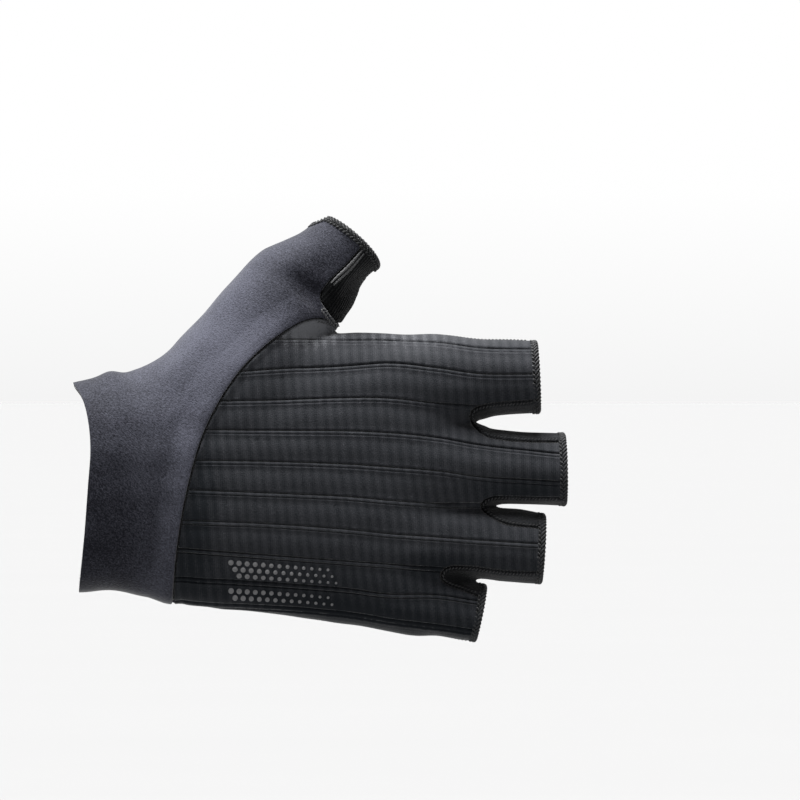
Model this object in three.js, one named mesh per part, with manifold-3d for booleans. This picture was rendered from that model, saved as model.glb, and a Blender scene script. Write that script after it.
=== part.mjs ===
// A short-finger cycling glove for the right hand, in the shape that it takes on the hand.
// The fingers point along +X, the thumb points up along +Z, and the back of the hand faces -Y.
// The origin is the middle of the wrist opening. All sizes are in millimetres.
//
// The glove is cut and sewn from separate cloths, and each one is a mesh of its own:
//   cuff_panel         smooth stretch cloth round the wrist and over the back of the thumb
//   back_panel         ribbed cloth over the back of the hand and of the four fingers
//   palm_panel         cloth over the palm side
//   thumb_gusset       knitted cloth on the inner and palm side of the thumb
//   fourchette_*       the knitted strips between two fingers
//   hem_*              the turned and overstitched band at the end of each finger and of the thumb
// The whole glove is a skin between an outer and an inner form. Each form joins six lofted tubes:
// the palm, the thumb and the four fingers. Seams cut the skin into its cloths.
import * as THREE from "three";
import { mergeVertices } from "three/addons/utils/BufferGeometryUtils.js";
import Module from "manifold-3d";

const wasm = await Module();
wasm.setup();

// Cloth.
const WALL = 1.4; // thickness of every cloth
const SEAM_GAP = 0.3; // slot that parts two cloths along a seam
const HEM_WIDTH = 3.2;
const HEM_PROUD = 0.3; // the turned hem stands this much proud of the cloth
const HEM_THICKNESS = 1.9;
const RIB_DEPTH = 0.6; // depth of the channel between two ribs of the back
const RIB_WIDTH = 2.0; // width of that channel

// How finely the forms are divided.
const PALM_SIDES = 34;
const THUMB_SIDES = 24;
const FINGER_SIDES = 20;
const CURVE_STEPS = 2; // steps between two points of a seam

// Lengths that only have to reach past the glove.
const REACH = 60; // half the depth of a cutting prism
const OPEN_BY = 4; // how far the inner form runs out of an open end
const HEM_MARGIN = 1.2; // how far a hem's cutting block stands out round the hem
const BEFORE = -30; // x beyond the wrist
const AFTER = 170; // x beyond the fingers
const BELOW = -60; // z beyond the little finger's side
const ABOVE = 100; // z beyond the thumb

// Each tube is lofted through sections. A row is one section, which stands in a plane along Y.
// It gives its edge on the thumb side (ax, az), its edge on the little finger's side (bx, bz),
// how far it reaches from the edges towards the back and towards the palm of the hand,
// the y of its edges, and how square it is, from 2 for an ellipse upwards.
const COLUMNS = ["ax", "az", "bx", "bz", "back", "palm", "mid", "square"];
const row = (...values) => Object.fromEntries(COLUMNS.map((name, i) => [name, values[i]]));

const TUBES = {
  palm: {
    sides: PALM_SIDES,
    rows: [
      row(-5.0, 32.0, -5.0, -32.6, 20.0, 20.5, 0, 2.1),
      row(9.0, 36.0, 9.0, -32.3, 19.5, 20.5, 0, 2.15),
      row(20.0, 38.5, 20.0, -34.3, 18.5, 20.0, 0, 2.2),
      row(34.0, 42.0, 32.0, -36.4, 17.5, 19.5, 0, 2.3),
      row(54.0, 45.0, 52.0, -38.6, 16.5, 18.5, 0, 2.4),
      row(74.0, 47.3, 72.0, -41.3, 16.0, 17.0, 0, 2.5),
      row(92.0, 47.7, 90.0, -43.7, 15.5, 15.5, 0.3, 2.5),
      row(107.0, 47.2, 101.0, -45.6, 13.5, 13.5, 0.6, 2.4),
      row(118.0, 46.2, 108.0, -46.3, 9.5, 9.5, 1.0, 2.3),
    ],
  },
  thumb: {
    sides: THUMB_SIDES,
    rows: [
      row(12.0, 33.0, 36.0, 6.0, 14.0, 18.0, 0.5, 2.1),
      row(23.9, 40.8, 49.0, 15.0, 14.5, 19.0, 1.0, 2.1),
      row(30.0, 46.8, 55.0, 21.8, 14.6, 18.8, 1.2, 2.1),
      row(36.3, 53.3, 61.0, 29.0, 14.5, 18.0, 1.5, 2.1),
      row(48.7, 67.2, 73.5, 43.0, 13.8, 15.5, 2.5, 2.1),
      row(55.0, 73.2, 80.0, 52.3, 13.0, 13.5, 3.5, 2.1),
      row(63.0, 76.9, 84.5, 58.5, 12.2, 12.0, 4.2, 2.1),
      row(74.0, 84.2, 92.1, 68.6, 11.5, 11.0, 5.0, 2.1),
    ],
  },
  index: {
    sides: FINGER_SIDES,
    rows: [
      row(88.0, 44.0, 88.0, 18.0, 12.6, 12.0, 0.2, 2.3),
      row(108.0, 46.9, 108.0, 17.8, 13.4, 12.6, 0.8, 2.3),
      row(122.6, 46.0, 122.6, 20.1, 12.0, 11.4, 1.5, 2.2),
      row(129.0, 45.7, 129.0, 22.2, 11.4, 10.8, 1.9, 2.2),
      row(141.0, 45.2, 142.0, 23.0, 10.8, 10.2, 2.4, 2.2),
    ],
  },
  middle: {
    sides: FINGER_SIDES,
    rows: [
      row(88.0, 22.0, 88.0, -8.0, 12.6, 12.0, 0.2, 2.3),
      row(108.0, 23.2, 108.0, -8.8, 13.9, 13.0, 0.8, 2.3),
      row(122.6, 20.3, 122.6, -7.2, 12.5, 11.8, 1.4, 2.2),
      row(129.8, 17.7, 129.8, -5.9, 11.8, 11.2, 1.8, 2.2),
      row(137.0, 17.1, 137.0, -5.2, 11.4, 10.8, 2.1, 2.2),
      row(149.6, 16.6, 150.0, -5.7, 11.0, 10.4, 2.5, 2.2),
    ],
  },
  ring: {
    sides: FINGER_SIDES,
    rows: [
      row(86.0, -3.0, 86.0, -32.0, 12.2, 11.8, 0.2, 2.3),
      row(104.0, -2.6, 104.0, -31.0, 13.4, 12.6, 0.7, 2.3),
      row(120.0, -4.2, 120.0, -28.0, 12.0, 11.4, 1.4, 2.2),
      row(129.8, -6.0, 129.8, -28.9, 11.3, 10.7, 1.8, 2.2),
      row(136.0, -7.2, 136.0, -29.5, 10.8, 10.2, 2.1, 2.2),
      row(143.6, -8.6, 142.4, -29.9, 10.4, 9.8, 2.4, 2.2),
    ],
  },
  little: {
    sides: FINGER_SIDES,
    rows: [
      row(82.0, -20.0, 80.0, -40.0, 10.6, 10.4, 0.2, 2.3),
      row(100.0, -24.4, 97.0, -44.4, 12.0, 11.4, 0.7, 2.3),
      row(113.6, -27.6, 111.5, -46.5, 10.3, 10.1, 1.3, 2.2),
      row(119.4, -29.3, 117.0, -47.4, 9.5, 9.3, 1.7, 2.2),
      row(125.4, -30.5, 122.0, -47.9, 9.0, 8.8, 2.0, 2.2),
    ],
  },
};
const FINGERS = ["index", "middle", "ring", "little"];

// Seam and edge lines on the back of the glove, as points (x, z).
// The wrist's edge is cut a little hollow. Its line runs from the thumb side down.
const WRIST_EDGE = [
  [-4.4, 37.0],
  [-3.2, 32.6],
  [0.0, 27.6],
  [2.0, 19.6],
  [2.6, 11.0],
  [1.9, 0.9],
  [0.7, -15.0],
  [-1.2, -32.6],
  [-1.6, -37.0],
];
// The seam where the ribbed back joins the cuff, from the little finger's side to the crotch of the thumb.
const YOKE_SEAM = [
  [27.4, -45.0],
  [27.9, -36.3],
  [29.4, -19.5],
  [32.6, -0.9],
  [38.0, 17.5],
  [46.8, 33.2],
  [56.4, 43.4],
  [65.7, 50.2],
  [72.4, 52.2],
  [79.2, 50.6],
];
// The seam of the knitted gusset on the back of the thumb, from the thumb's end to the same crotch.
const GUSSET_SEAM = [
  [89.8, 78.4],
  [82.8, 69.8],
  [76.6, 63.6],
  [74.3, 58.6],
  [76.2, 54.4],
  [79.2, 50.6],
];
// On the palm side the cuff ends at a straight seam, and the gusset's seam crosses the thumb's root.
const PALM_SEAM_X = 30;
const THUMB_ROOT_SEAM = [
  [40.0, 66.0],
  [52.0, 62.0],
  [66.0, 54.0],
  [79.2, 50.6],
];
const THUMB_CROTCH = [84.0, 50.4];
const THUMB_OUTSIDE = [110.0, 56.0]; // a point between the thumb and the index finger, clear of both

// The side seams seen along the glove, as points (y, z). They lie just behind the glove's outline,
// and move further back along the thumb, which stands out towards the palm.
const SIDE_SEAM = [
  [4.0, BELOW],
  [4.0, 45.0],
  [9.5, ABOVE],
];
// The two halves of space pass each other by a little inside the side seams' slot,
// so that a cloth which goes on past the side seams is one body.
const HALVES_OVERLAP = 0.2;

// Each knitted strip between two fingers has a seam on each of them, and both meet in the crotch.
const FOURCHETTE_SEAMS = {
  fourchette_index_middle: [
    [146.0, 27.6],
    [135.5, 26.4],
    [126.0, 25.6],
    [121.2, 24.2],
    [120.2, 21.6],
    [121.5, 18.6],
    [126.8, 15.4],
    [138.6, 14.3],
    [154.0, 14.3],
  ],
  fourchette_middle_ring: [
    [154.0, -3.1],
    [138.6, -3.1],
    [128.5, -2.9],
    [124.6, -4.0],
    [123.4, -6.0],
    [124.9, -7.9],
    [130.2, -10.9],
    [136.5, -12.0],
    [148.0, -12.9],
  ],
  fourchette_ring_little: [
    [147.0, -26.6],
    [134.0, -26.4],
    [127.5, -25.8],
    [120.0, -24.8],
    [113.4, -24.8],
    [111.0, -27.2],
    [112.6, -29.8],
    [120.0, -32.6],
    [129.0, -36.4],
  ],
};

// The channels between the ribs of the back. Each has its height z at the stations of RIB_X, and its end x.
const RIB_X = [26, 55, 80, 95, 110, 125, 145];
const rib = (end, ...z) => ({ end, z });
const RIBS = [
  rib(152, 45.0, 45.0, 45.0, 45.0, 44.4, 42.8, 42.8),
  rib(152, 34.0, 35.6, 37.1, 37.9, 36.2, 34.2, 34.4),
  rib(118, 26.0, 26.2, 26.8, 26.8, 25.2, 24.4, 24.0),
  rib(152, 17.2, 16.8, 16.8, 16.2, 14.2, 12.0, 10.0),
  rib(152, 7.6, 7.2, 6.4, 5.6, 4.1, 2.2, 1.0),
  rib(121, -1.6, -2.8, -3.9, -5.0, -6.4, -6.6, -7.8),
  rib(152, -11.6, -12.6, -14.3, -15.8, -17.1, -18.0, -19.3),
  rib(109, -19.4, -21.6, -23.7, -24.9, -25.9, -27.0, -28.0),
  rib(132, -28.6, -30.1, -32.0, -33.7, -34.0, -36.0, -38.0),
  rib(132, -35.6, -37.0, -39.0, -41.4, -43.1, -45.0, -46.0),
];

const COLOURS = {
  cuff: { color: 0x50525d, roughness: 0.85, metalness: 0 },
  back: { color: 0x33353a, roughness: 0.8, metalness: 0 },
  palm: { color: 0x26272a, roughness: 0.75, metalness: 0 },
  knit: { color: 0x1d1e21, roughness: 0.95, metalness: 0 },
  hem: { color: 0x232427, roughness: 0.9, metalness: 0 },
};

// A closed geometry as a solid. Only positions count, so the rest goes before vertices are merged.
function solidOf(geometry) {
  const bare = geometry.index ? geometry.toNonIndexed() : geometry;
  bare.deleteAttribute("normal");
  bare.deleteAttribute("uv");
  const merged = mergeVertices(bare, 1e-4);
  return new wasm.Manifold(
    new wasm.Mesh({
      numProp: 3,
      vertProperties: new Float32Array(merged.attributes.position.array),
      triVerts: new Uint32Array(merged.index.array),
    }),
  );
}

function geometryOf(solid) {
  const mesh = solid.getMesh();
  const geometry = new THREE.BufferGeometry();
  geometry.setAttribute("position", new THREE.BufferAttribute(mesh.vertProperties, 3));
  geometry.setIndex(new THREE.BufferAttribute(mesh.triVerts, 1));
  geometry.computeVertexNormals();
  return geometry;
}

// One section as a ring of points: half an oval towards the back and half of one towards the palm.
function ring(section, inset, sides) {
  const { ax, az, bx, bz, back, palm, mid, square } = section;
  const width = Math.hypot(ax - bx, az - bz);
  const across = new THREE.Vector3((ax - bx) / width, 0, (az - bz) / width);
  const centre = new THREE.Vector3((ax + bx) / 2, mid, (az + bz) / 2);
  const bulge = (value) => Math.sign(value) * Math.abs(value) ** (2 / square);
  return Array.from({ length: sides }, (_, k) => {
    const angle = (2 * Math.PI * k) / sides;
    const reach = Math.sin(angle) > 0 ? palm : back;
    return centre
      .clone()
      .addScaledVector(across, (width / 2 - inset) * bulge(Math.cos(angle)))
      .add(new THREE.Vector3(0, (reach - inset) * bulge(Math.sin(angle)), 0));
  });
}

// A tube with flat ends through a table's sections, each one drawn in by the inset.
// The ends move out along the tube by the given lengths.
function tube({ rows, sides }, inset, startBy = 0, endBy = 0) {
  const rings = rows.map((section) => ring(section, inset, sides));
  const middle = (points) =>
    points.reduce((sum, p) => sum.add(p), new THREE.Vector3()).divideScalar(points.length);
  const lengthen = (last, before, by) => {
    const way = middle(last).sub(middle(before)).normalize();
    last.forEach((p) => p.addScaledVector(way, by));
  };
  if (startBy) lengthen(rings[0], rings[1], startBy);
  if (endBy) lengthen(rings.at(-1), rings.at(-2), endBy);
  const points = rings.flat();
  const first = points.push(middle(rings[0])) - 1;
  const last = points.push(middle(rings.at(-1))) - 1;
  const faces = [];
  for (let i = 0; i < rings.length - 1; i++) {
    for (let k = 0; k < sides; k++) {
      const a = i * sides + k;
      const b = i * sides + ((k + 1) % sides);
      faces.push(a, a + sides, b, b, a + sides, b + sides);
    }
  }
  const top = (rings.length - 1) * sides;
  for (let k = 0; k < sides; k++) {
    const next = (k + 1) % sides;
    faces.push(first, k, next, last, top + next, top + k);
  }
  const geometry = new THREE.BufferGeometry().setFromPoints(points);
  geometry.setIndex(faces);
  return solidOf(geometry);
}

// An outline of points (x, z), extruded along Y through the whole glove.
function prism(outline) {
  const shape = new THREE.Shape(outline.map(([x, z]) => new THREE.Vector2(x, z)));
  const geometry = new THREE.ExtrudeGeometry(shape, { depth: 2 * REACH, bevelEnabled: false });
  return solidOf(geometry.rotateX(Math.PI / 2).translate(0, REACH, 0));
}

function curve(points) {
  const line = new THREE.SplineCurve(points.map(([x, z]) => new THREE.Vector2(x, z)));
  return line.getPoints((points.length - 1) * CURVE_STEPS).map((p) => [p.x, p.y]);
}

// A strip of even width along a line, extruded along Y.
function strip(line, width) {
  const side = (sign) =>
    line.map(([x, z], i) => {
      const [x0, z0] = line[Math.max(i - 1, 0)];
      const [x1, z1] = line[Math.min(i + 1, line.length - 1)];
      const length = Math.hypot(x1 - x0, z1 - z0);
      return [x - (sign * (z1 - z0) * width) / 2 / length, z + (sign * (x1 - x0) * width) / 2 / length];
    });
  return prism([...side(-1), ...side(1).reverse()]);
}

const union = (solids) => solids.reduce((sum, s) => sum.add(s));

// The outer or inner form: all six tubes, drawn in by the inset.
// Where it is cut open, at the wrist and at the fingers' ends, it is longer by openBy.
function form(inset, openBy) {
  return union([
    tube(TUBES.palm, inset, openBy, 0),
    tube(TUBES.thumb, inset, 0, openBy),
    ...FINGERS.map((name) => tube(TUBES[name], inset, 0, openBy)),
  ]);
}

// The part of space on the palm side of the side seams, moved along Y by the shift.
function palmHalf(shift) {
  const profile = [...SIDE_SEAM.map(([y, z]) => [y + shift, z]), [REACH, ABOVE], [REACH, BELOW]];
  const shape = new THREE.Shape(profile.map(([y, z]) => new THREE.Vector2(y, z)));
  const geometry = new THREE.ExtrudeGeometry(shape, { depth: AFTER - BEFORE, bevelEnabled: false });
  // The outline's first coordinate becomes y, its second z, and the extrusion runs along x.
  geometry.applyMatrix4(new THREE.Matrix4().set(0, 0, 1, BEFORE, 1, 0, 0, 0, 0, 1, 0, 0, 0, 0, 0, 1));
  return solidOf(geometry);
}

// The block that holds a tube's end, as far back as the hem is wide.
function hemBlock({ rows }, back) {
  const { ax, az, bx, bz } = rows.at(-1);
  const width = Math.hypot(ax - bx, az - bz);
  const across = [(ax - bx) / width, (az - bz) / width];
  const out = [across[1], -across[0]];
  const corner = (x, z, side, along) => [
    x + across[0] * side * HEM_MARGIN + out[0] * along,
    z + across[1] * side * HEM_MARGIN + out[1] * along,
  ];
  return prism([
    corner(ax, az, 1, HEM_MARGIN),
    corner(ax, az, 1, -back),
    corner(bx, bz, -1, -back),
    corner(bx, bz, -1, HEM_MARGIN),
  ]);
}

const yoke = curve(YOKE_SEAM);
const gusset = curve(GUSSET_SEAM);
const thumbRoot = curve(THUMB_ROOT_SEAM);
const wristEdge = curve(WRIST_EDGE);

// Outlines of the cloths, seen from the back. The two halves differ at the cuff and the thumb.
const [wristTop] = wristEdge;
const [gussetTop] = gusset;
const [yokeFoot] = yoke;
const [thumbRootTop] = thumbRoot;
const fromThumb = [THUMB_CROTCH, THUMB_OUTSIDE];
const beyondFingers = [
  [AFTER, THUMB_OUTSIDE[1]],
  [AFTER, BELOW],
];
const cuffPalmRegion = prism([...wristEdge, [PALM_SEAM_X, BELOW], [PALM_SEAM_X, -BELOW]]);
const cuffBackRegion = prism([
  ...wristEdge,
  ...yoke,
  ...gusset.slice(0, -1).reverse(),
  [gussetTop[0], ABOVE],
  [wristTop[0], ABOVE],
]);
const gussetBackRegion = prism([...gusset, ...fromThumb, [THUMB_OUTSIDE[0], gussetTop[1]]]);
const gussetPalmRegion = prism([
  ...thumbRoot,
  ...fromThumb,
  [THUMB_OUTSIDE[0], ABOVE],
  [thumbRootTop[0], ABOVE],
]);
const backRegion = prism([...yoke, ...fromThumb, ...beyondFingers, [yokeFoot[0], BELOW]]);
const palmRegion = prism([
  [PALM_SEAM_X, BELOW],
  [PALM_SEAM_X, ABOVE],
  thumbRootTop,
  ...thumbRoot.slice(1),
  ...fromThumb,
  ...beyondFingers,
]);
const fourchetteRegions = Object.fromEntries(
  Object.entries(FOURCHETTE_SEAMS).map(([name, seam]) => [name, prism(curve(seam))]),
);
const allFourchettes = union(Object.values(fourchetteRegions));

const palmSide = palmHalf(-HALVES_OVERLAP / 2);
const notBackSide = palmHalf(HALVES_OVERLAP / 2);
const onBack = (solid) => solid.subtract(notBackSide);
const onPalm = (solid) => solid.intersect(palmSide);
const sideSlot = palmHalf(-SEAM_GAP / 2)
  .subtract(palmHalf(SEAM_GAP / 2))
  .subtract(cuffBackRegion.intersect(cuffPalmRegion))
  .subtract(gussetBackRegion.intersect(gussetPalmRegion))
  .subtract(allFourchettes);

const seamSlots = union([
  onBack(strip(yoke, SEAM_GAP)),
  onBack(strip(gusset, SEAM_GAP)),
  onPalm(strip([...thumbRoot, THUMB_CROTCH], SEAM_GAP)),
  onPalm(strip([[PALM_SEAM_X, BELOW], [PALM_SEAM_X, ABOVE]], SEAM_GAP)),
  ...Object.values(FOURCHETTE_SEAMS).map((seam) => strip(curve(seam), SEAM_GAP)),
  sideSlot,
]);

const outerForm = form(0, 0);
const innerForm = form(WALL, OPEN_BY);
const hemTubes = { thumb: TUBES.thumb, ...Object.fromEntries(FINGERS.map((name) => [name, TUBES[name]])) };
const hemRoom = union(Object.values(hemTubes).map((t) => hemBlock(t, HEM_WIDTH + SEAM_GAP)));
const wristCut = prism([...wristEdge, [BEFORE, BELOW], [BEFORE, -BELOW]]);
const skin = outerForm.subtract(innerForm).subtract(wristCut).subtract(hemRoom).subtract(seamSlots);

// The channels go a little way into the back's outer face.
function ribLine({ end, z }) {
  return RIB_X.map((x, i) => [x, z[i]]).filter(([x]) => x <= end);
}
const ribStrips = union(RIBS.map((r) => strip(ribLine(r), RIB_WIDTH)));
const channels = onBack(ribStrips).subtract(form(RIB_DEPTH, OPEN_BY));

function hem(name) {
  const t = hemTubes[name];
  const band = tube(t, -HEM_PROUD).subtract(tube(t, HEM_THICKNESS - HEM_PROUD, 0, OPEN_BY));
  return band.intersect(hemBlock(t, HEM_WIDTH));
}

function cloth(name, solid, look) {
  const mesh = new THREE.Mesh(geometryOf(solid), new THREE.MeshStandardMaterial(COLOURS[look]));
  mesh.name = name;
  return mesh;
}

const glove = new THREE.Group();
glove.add(
  cloth(
    "cuff_panel",
    skin.intersect(onBack(cuffBackRegion).add(onPalm(cuffPalmRegion))),
    "cuff",
  ),
  cloth(
    "back_panel",
    skin.intersect(onBack(backRegion)).subtract(allFourchettes).subtract(channels),
    "back",
  ),
  cloth(
    "palm_panel",
    skin.intersect(onPalm(palmRegion)).subtract(allFourchettes),
    "palm",
  ),
  cloth(
    "thumb_gusset",
    skin.intersect(onBack(gussetBackRegion).add(onPalm(gussetPalmRegion))),
    "knit",
  ),
);
for (const [name, region] of Object.entries(fourchetteRegions)) {
  glove.add(cloth(name, skin.intersect(region), "knit"));
}
for (const name of Object.keys(hemTubes)) {
  glove.add(cloth("hem_" + name, hem(name), "hem"));
}

export default glove;
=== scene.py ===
import math

import bpy
import numpy as np
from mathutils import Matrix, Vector
from mathutils.kdtree import KDTree


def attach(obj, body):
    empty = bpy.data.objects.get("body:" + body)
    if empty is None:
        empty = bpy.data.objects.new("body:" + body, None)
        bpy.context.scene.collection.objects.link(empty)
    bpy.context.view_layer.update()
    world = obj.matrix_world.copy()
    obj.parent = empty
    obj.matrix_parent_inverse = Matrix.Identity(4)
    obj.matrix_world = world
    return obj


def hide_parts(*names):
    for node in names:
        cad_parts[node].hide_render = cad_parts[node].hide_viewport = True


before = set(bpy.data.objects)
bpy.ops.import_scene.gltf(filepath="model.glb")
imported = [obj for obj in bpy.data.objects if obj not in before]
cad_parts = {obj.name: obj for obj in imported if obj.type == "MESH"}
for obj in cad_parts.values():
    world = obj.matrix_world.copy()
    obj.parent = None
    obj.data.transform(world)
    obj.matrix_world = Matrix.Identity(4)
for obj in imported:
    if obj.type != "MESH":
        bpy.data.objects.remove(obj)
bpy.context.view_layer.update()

MM = 0.001
BODY = "root"

# The glove's forms. Each tube is lofted through sections, and a row is one section:
# its edge on the thumb side (x, z), its edge on the little finger's side (x, z),
# how far it reaches towards the back and towards the palm, the y of its edges, and how square it is.
TUBES = {
    "palm": [
        (-9, 31, -9, -33, 20, 20.5, 0, 2.1),
        (0, 33, 0, -32.7, 19.8, 20.5, 0, 2.1),
        (9, 34.9, 9, -32.1, 19.5, 20.5, 0, 2.15),
        (20, 36.5, 20, -34.3, 18.5, 20, 0, 2.2),
        (34, 40.8, 32, -36.5, 17.5, 19.5, 0, 2.3),
        (54, 44.6, 52, -38.4, 16.5, 18.5, 0, 2.4),
        (74, 47.8, 72, -41.1, 16, 17, 0, 2.5),
        (92, 47.6, 90, -43.4, 15.3, 15.3, 0.3, 2.5),
        (107, 46.6, 101, -44.9, 13.2, 13.2, 0.6, 2.4),
        (118, 44.6, 108, -44.9, 9, 9, 1, 2.3),
    ],
    "thumb": [
        (12, 32.4, 36, 6, 13.5, 18, 0.5, 2.1),
        (23.9, 40, 49, 15, 14.2, 19, 1, 2.1),
        (30, 46.1, 55, 21.8, 14.4, 18.8, 1.2, 2.1),
        (36.3, 52.8, 61, 29, 14.4, 18, 1.5, 2.1),
        (48.7, 66.9, 73.5, 43, 13.8, 15.5, 2.5, 2.1),
        (55, 73, 81, 52, 13, 13.5, 3.5, 2.1),
        (59, 75.2, 83.6, 55.3, 12.6, 12.7, 3.9, 2.1),
        (63, 76.9, 85, 58.3, 12.2, 12, 4.2, 2.1),
        (68.2, 79.3, 87.2, 63.2, 11.8, 11.5, 4.6, 2.1),
        (74, 84.2, 92.1, 68.6, 11.5, 11, 5, 2.1),
    ],
    "index": [
        (88, 43, 88, 18, 12.2, 11.6, 0.2, 2.3),
        (108, 46.8, 108, 18, 13.2, 12.4, 0.8, 2.3),
        (122.6, 45.9, 122.6, 20.7, 12, 11.4, 1.5, 2.2),
        (129, 45.7, 129, 22.2, 11.4, 10.8, 1.9, 2.2),
        (141, 45.2, 142, 23, 10.8, 10.2, 2.4, 2.2),
    ],
    "middle": [
        (88, 22, 88, -8, 12.2, 11.6, 0.2, 2.3),
        (108, 23, 108, -8.6, 13.8, 13, 0.8, 2.3),
        (122.6, 19.6, 122.6, -7.1, 12.5, 11.8, 1.4, 2.2),
        (126.2, 18.2, 126.2, -6, 12.1, 11.5, 1.6, 2.2),
        (129.8, 17.6, 129.8, -5.2, 11.8, 11.2, 1.8, 2.2),
        (137, 17.1, 137, -5.2, 11.4, 10.8, 2.1, 2.2),
        (149.6, 16.6, 150, -5.7, 11, 10.4, 2.5, 2.2),
    ],
    "ring": [
        (86, -3, 86, -32, 11.8, 11.4, 0.2, 2.3),
        (104, -3, 104, -31, 13.3, 12.5, 0.7, 2.3),
        (120, -5, 120, -28.3, 12, 11.4, 1.4, 2.2),
        (129.8, -6.6, 129.8, -29.2, 11.3, 10.7, 1.8, 2.2),
        (136, -7.1, 136, -29.6, 10.8, 10.2, 2.1, 2.2),
        (143.6, -8.6, 142.4, -29.9, 10.4, 9.8, 2.4, 2.2),
    ],
    "little": [
        (82, -20, 80, -39, 10.2, 10, 0.2, 2.3),
        (100, -24.4, 97, -44.2, 11.9, 11.3, 0.7, 2.3),
        (113.6, -27.6, 111.5, -46.4, 10.3, 10.1, 1.3, 2.2),
        (119.4, -29.3, 117, -47.3, 9.5, 9.3, 1.7, 2.2),
        (125.4, -30.5, 122, -47.9, 9, 8.8, 2, 2.2),
    ],
}
FINGERS = ("index", "middle", "ring", "little")
OPEN_ENDS = ("thumb",) + FINGERS

# Seam and edge lines on the back of the glove, as points (x, z).
WRIST_EDGE = [(-4.4, 37), (-3.2, 32.6), (0, 27.6), (2, 19.6), (2.6, 11), (1.9, 0.9),
              (0.7, -15), (-1.2, -32.6), (-1.6, -37)]
YOKE_SEAM = [(27.4, -45), (27.9, -36.3), (29.4, -19.5), (32.6, -0.9), (38, 17.5), (46.8, 33.2),
             (56.4, 43.4), (65.7, 50.2), (72.4, 52.2), (79.2, 50.6)]
GUSSET_SEAM = [(89.8, 78.4), (82.8, 69.8), (76.6, 63.6), (74.3, 58.6), (76.2, 54.4), (79.2, 50.6)]
THUMB_ROOT_SEAM = [(40, 66), (52, 62), (66, 54), (79.2, 50.6)]
FROM_CROTCH = [(84, 50.4), (110, 56)]  # parts the thumb from the index finger
PALM_SEAM_X = 30.0
SIDE_SEAM_Y = (4, 45, 0.1)  # its y, the height z above which it moves to the palm, and by how much per mm
FOURCHETTE_SEAMS = {
    "fourchette_index_middle": [(146, 27.6), (135.5, 26.4), (126, 25.6), (121.2, 24.2), (120.2, 21.6),
                                (121.5, 18.6), (126.8, 15.4), (138.6, 14.3), (154, 14.3)],
    "fourchette_middle_ring": [(154, -3.1), (138.6, -3.1), (128.5, -2.9), (124.6, -4), (123.4, -6),
                               (124.9, -7.9), (130.2, -10.9), (136.5, -12), (148, -12.9)],
    "fourchette_ring_little": [(147, -26.6), (134, -26.4), (127.5, -25.8), (120, -24.8), (113.4, -24.8),
                               (111, -27.2), (112.6, -29.8), (120, -32.6), (129, -36.4)],
}

# The ribs' lines: where each one ends, and its z at the stations of RIB_X.
RIB_X = (20, 55, 80, 95, 110, 125, 150)
RIBS = [
    (152, (45.8, 45.8, 45.8, 45.6, 45, 43.2, 43.2)),
    (152, (34, 36.2, 37.5, 38.5, 37, 35.1, 35.2)),
    (127, (26.7, 26.9, 27.7, 27.6, 26, 24.9, 24.4)),
    (152, (18.2, 17.7, 17.5, 16.9, 15.4, 13, 10.3)),
    (152, (8.6, 8.1, 7.3, 6.3, 5.1, 3.1, 1.6)),
    (129, (-0.2, -1.6, -2.7, -4, -5, -5.3, -6.6)),
    (152, (-9.9, -11.1, -12.8, -14.3, -15.4, -16.5, -18.1)),
    (117, (-18.2, -20.8, -22.7, -23.8, -25, -26.4, -27.4)),
    (132, (-27.6, -29.4, -31.3, -33, -33.3, -35.4, -37.9)),
    (132, (-35, -36.6, -38.5, -40.9, -42.7, -44.7, -45.8)),
]

# Lines z that part neighbouring fingers, at the stations of BETWEEN_X.
BETWEEN_X = (100, 113, 125, 145)
BETWEEN = [(200, 200, 200, 200), (20, 20, 20, 20), (-6.8, -6.8, -6.8, -6.8), (-27, -27.3, -29.4, -31.8),
           (-200, -200, -200, -200)]

# Folds and dents of the back, as x, z, direction in degrees, half length, half width and height.
FOLDS = [
    (30, 38.8, 40, 8, 2.2, 0.50),
    (34, 33.6, 52, 9, 2.4, -0.40),
    (13.8, 0, 88, 22, 3.4, -0.55),
    (9.4, 8, 90, 15, 1.8, 0.15),
    (8, 36, -65, 5, 3.4, 1.15),
    (13, 35, -58, 6, 2.2, -0.25),
    (71.6, 58, -50, 6.5, 2.6, -1.25),
    (69.4, 62, -27, 9.5, 3.4, -1.60),
    (68.6, 60.8, -36, 5, 1.3, 0.50),
    (73, 67, 50, 8, 5, -0.90),
    (60, 42, 42, 14, 9, 1.10),
    (84.5, 61.5, 60, 8, 3.6, -1.60),
]

# The folds fade out where the cloth turns away from the back, and end this far past the side seam.
FOLD_FACING = (-0.2, 0.5)
FOLD_PAST_SIDE = 2

# The slight unevenness of all the cloth: waves of these lengths, each this high for its length.
WAVE_SEED = 7
WAVE_LENGTHS = (24, 19, 15, 12, 9.5, 8)
WAVES_EACH = 2
WAVE_HEIGHT = 0.0022

# How much further out a mouth reaches on the back than at its sides.
MOUTH_LEAN = {"thumb": 3.0, "index": 0.4, "middle": 0.6, "ring": 0.5, "little": 0.5}
# How far the thumb's mouth draws back at its upper edge, and at which shares across it on either face.
THUMB_NOTCH = 3.0
NOTCH_PALM = (-1.0, 0.95)
NOTCH_BACK = (0.84, 1.0)

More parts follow.
